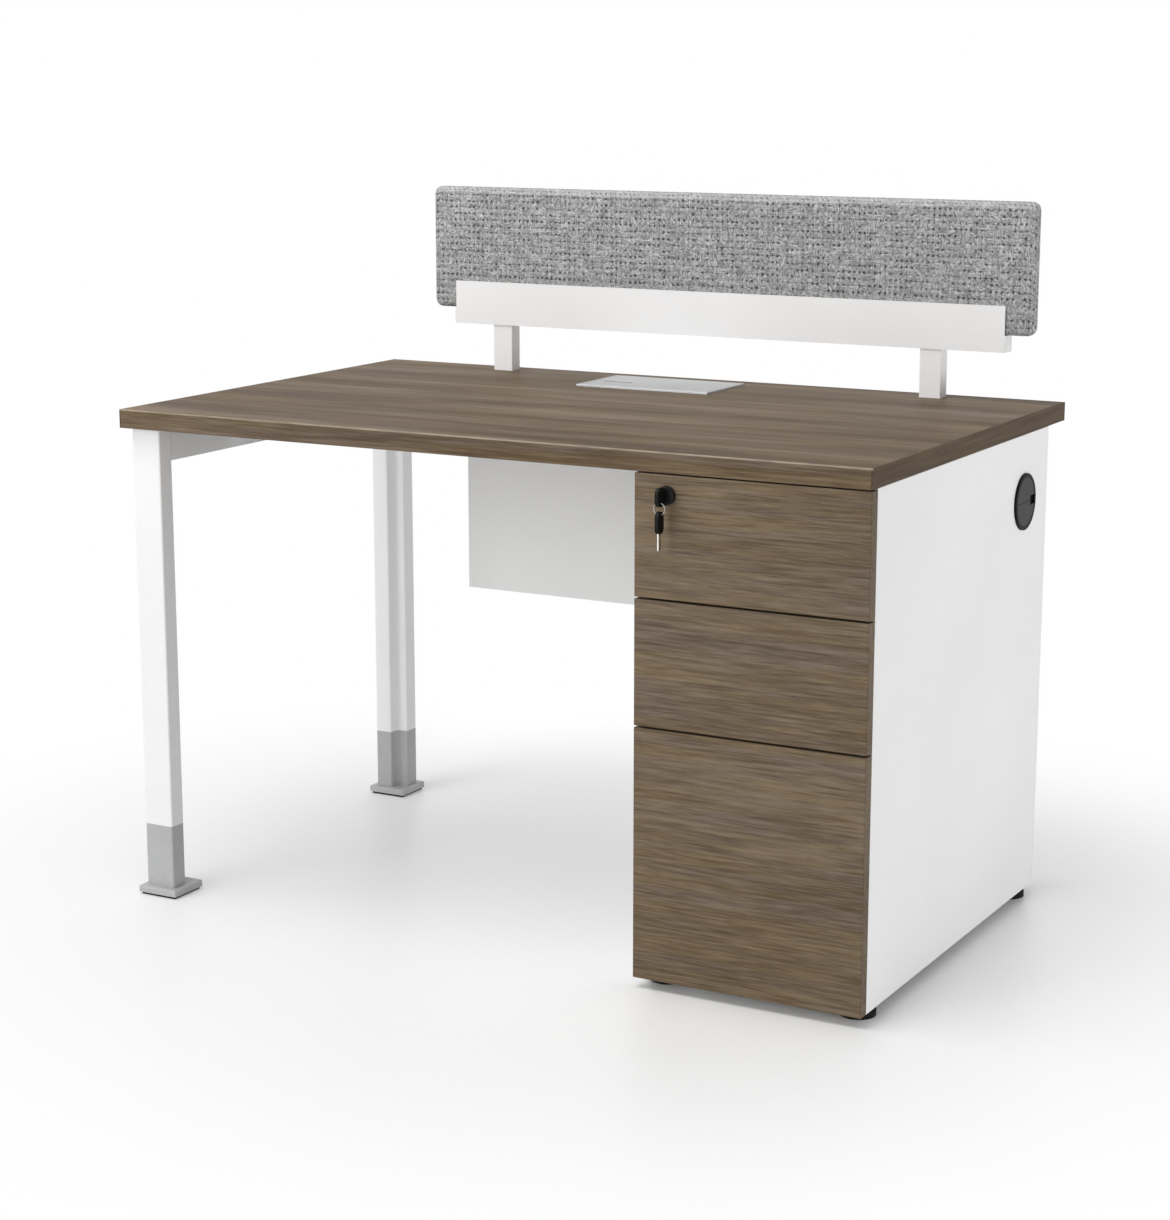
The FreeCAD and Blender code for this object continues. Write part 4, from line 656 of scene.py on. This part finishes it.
# The weave's own relief, flatter where the rail presses on it
facing = [vertex.normal.copy() for vertex in screen.data.vertices]
for vertex, outward in zip(screen.data.vertices, facing):
    point = vertex.co
    hill_x = abs(math.sin(math.pi * (point.x + point.y) / WEAVE_WIDE))
    hill_z = abs(math.sin(math.pi * (point.z + point.y) / WEAVE_TALL))
    free = 1 - PRESSED_SHARE * in_rail(point)
    vertex.co = point + outward * (hill_x * hill_z - 0.5) * WEAVE_HEIGHT * free
for polygon in screen.data.polygons:
    polygon.use_smooth = True
screen.data.materials.append(cloth("screen_cloth", fabric_high.z))
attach(screen, "desk")
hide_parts("screen_fabric")

# Floor, light and camera
FLOOR_REACH = 14
GLOW_LEAST = 0.22
GLOW_START = 0.6
GLOW_FULL = 1.35
SHADOW_UNDER = -0.02
SHADOW_REACH = 0.1
WORLD_LIGHT = 0.42
PHOTO_HEIGHT = 1220
FOCAL_PIXELS = 2640.2
CAMERA_PLACE = (1.8670, -3.4326, 1.2619)
CAMERA_DOWN = 11.868
CAMERA_ASIDE = 28.696


def background_rays(tree):
    """One for the rays that show the background: straight, in gloss or through glass."""
    rays = tree.nodes.new("ShaderNodeLightPath")
    seen = rays.outputs["Is Camera Ray"]
    for kind in ("Is Glossy Ray", "Is Transmission Ray"):
        wider = tree.nodes.new("ShaderNodeMath")
        wider.operation = "MAXIMUM"
        tree.links.new(seen, wider.inputs[0])
        tree.links.new(rays.outputs[kind], wider.inputs[1])
        seen = wider.outputs[0]
    return seen


def floor_look():
    look = Look("floor_paper", Specular_IOR_Level=0.25)
    paper = look.noise(look.place, scale=60.0, detail=3.0)
    look.colour(look.mixed(paper, grey(0.88), grey(0.92)))
    look.roughness(look.between(paper, 0.2, 0.8, 0.38, 0.46))
    x, y, _ = look.axes()
    squares = look.math("ADD", look.math("POWER", x, 2.0), look.math("POWER", y, 2.0))
    far = look.math("SQRT", squares)
    # the glow stops at the pedestal, so that the shadow under it stays dark
    low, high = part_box("pedestal_bottom")
    beside = look.math("SUBTRACT", look.apart(x, (low.x + high.x) / 2), (high.x - low.x) / 2)
    before = look.math("SUBTRACT", look.apart(y, (low.y + high.y) / 2), (high.y - low.y) / 2)
    clear = look.between(look.math("MAXIMUM", beside, before), SHADOW_UNDER, SHADOW_REACH)
    glow = look.times(clear, look.between(far, GLOW_START, GLOW_FULL, GLOW_LEAST, 1.0))
    white = look.tree.nodes.new("ShaderNodeEmission")
    white.inputs["Color"].default_value = (1, 1, 1, 1)
    white.inputs["Strength"].default_value = 1.0
    both = look.tree.nodes.new("ShaderNodeMixShader")
    look.put(both.inputs[0], look.times(background_rays(look.tree), glow))
    look.put(both.inputs[1], look.shader.outputs["BSDF"])
    look.put(both.inputs[2], white.outputs[0])
    look.put(look.output.inputs["Surface"], both.outputs[0])
    return look.material


floor_mesh = bpy.data.meshes.new("floor")
floor_signs = ((-1, -1), (1, -1), (1, 1), (-1, 1))
floor_corners = [(FLOOR_REACH * across, FLOOR_REACH * back, 0) for across, back in floor_signs]
floor_mesh.from_pydata(floor_corners, [], [(0, 1, 2, 3)])
floor = bpy.data.objects.new("floor", floor_mesh)
bpy.context.scene.collection.objects.link(floor)
floor_mesh.materials.append(floor_look())


def softbox(name, place, target, size, power):
    lamp = bpy.data.lights.new(name, "AREA")
    lamp.shape = "RECTANGLE"
    lamp.size, lamp.size_y = size
    lamp.energy = power
    thing = bpy.data.objects.new(name, lamp)
    bpy.context.scene.collection.objects.link(thing)
    thing.location = place
    thing.rotation_euler = (Vector(target) - Vector(place)).to_track_quat("-Z", "Y").to_euler()
    thing.visible_camera = False


softbox("key", place=(-1.9, -5.6, 2.0), target=(0.0, 0.0, 0.5), size=(3.4, 3.2), power=128.0)
softbox("top", place=(-0.7, -1.0, 3.3), target=(0.0, 0.3, 0.85), size=(2.2, 2.0), power=60.0)
softbox("fill", place=(3.6, 0.4, 0.3), target=(0.6, 0.0, 0.36), size=(1.3, 0.5), power=34.0)
softbox("back", place=(-1.2, 3.6, 0.42), target=(0.0, 0.3, 0.5), size=(2.4, 0.6), power=24.0)

world = bpy.data.worlds.new("studio")
bpy.context.scene.world = world
world.use_nodes = True
tree = world.node_tree
tree.nodes.clear()
strength = tree.nodes.new("ShaderNodeMapRange")
strength.inputs["To Min"].default_value = WORLD_LIGHT
strength.inputs["To Max"].default_value = 1.0
tree.links.new(background_rays(tree), strength.inputs["Value"])
sky = tree.nodes.new("ShaderNodeBackground")
sky.inputs["Color"].default_value = (1, 1, 1, 1)
tree.links.new(strength.outputs["Result"], sky.inputs["Strength"])
output = tree.nodes.new("ShaderNodeOutputWorld")
tree.links.new(sky.outputs[0], output.inputs["Surface"])

camera = bpy.data.cameras.new("camera")
camera.sensor_width = 36.0
camera.lens = FOCAL_PIXELS * camera.sensor_width / PHOTO_HEIGHT
eye = bpy.data.objects.new("camera", camera)
bpy.context.scene.collection.objects.link(eye)
eye.location = CAMERA_PLACE
eye.rotation_euler = (math.radians(90 - CAMERA_DOWN), 0.0, math.radians(CAMERA_ASIDE))
bpy.context.scene.camera = eye
bpy.context.scene.view_settings.view_transform = "Standard"
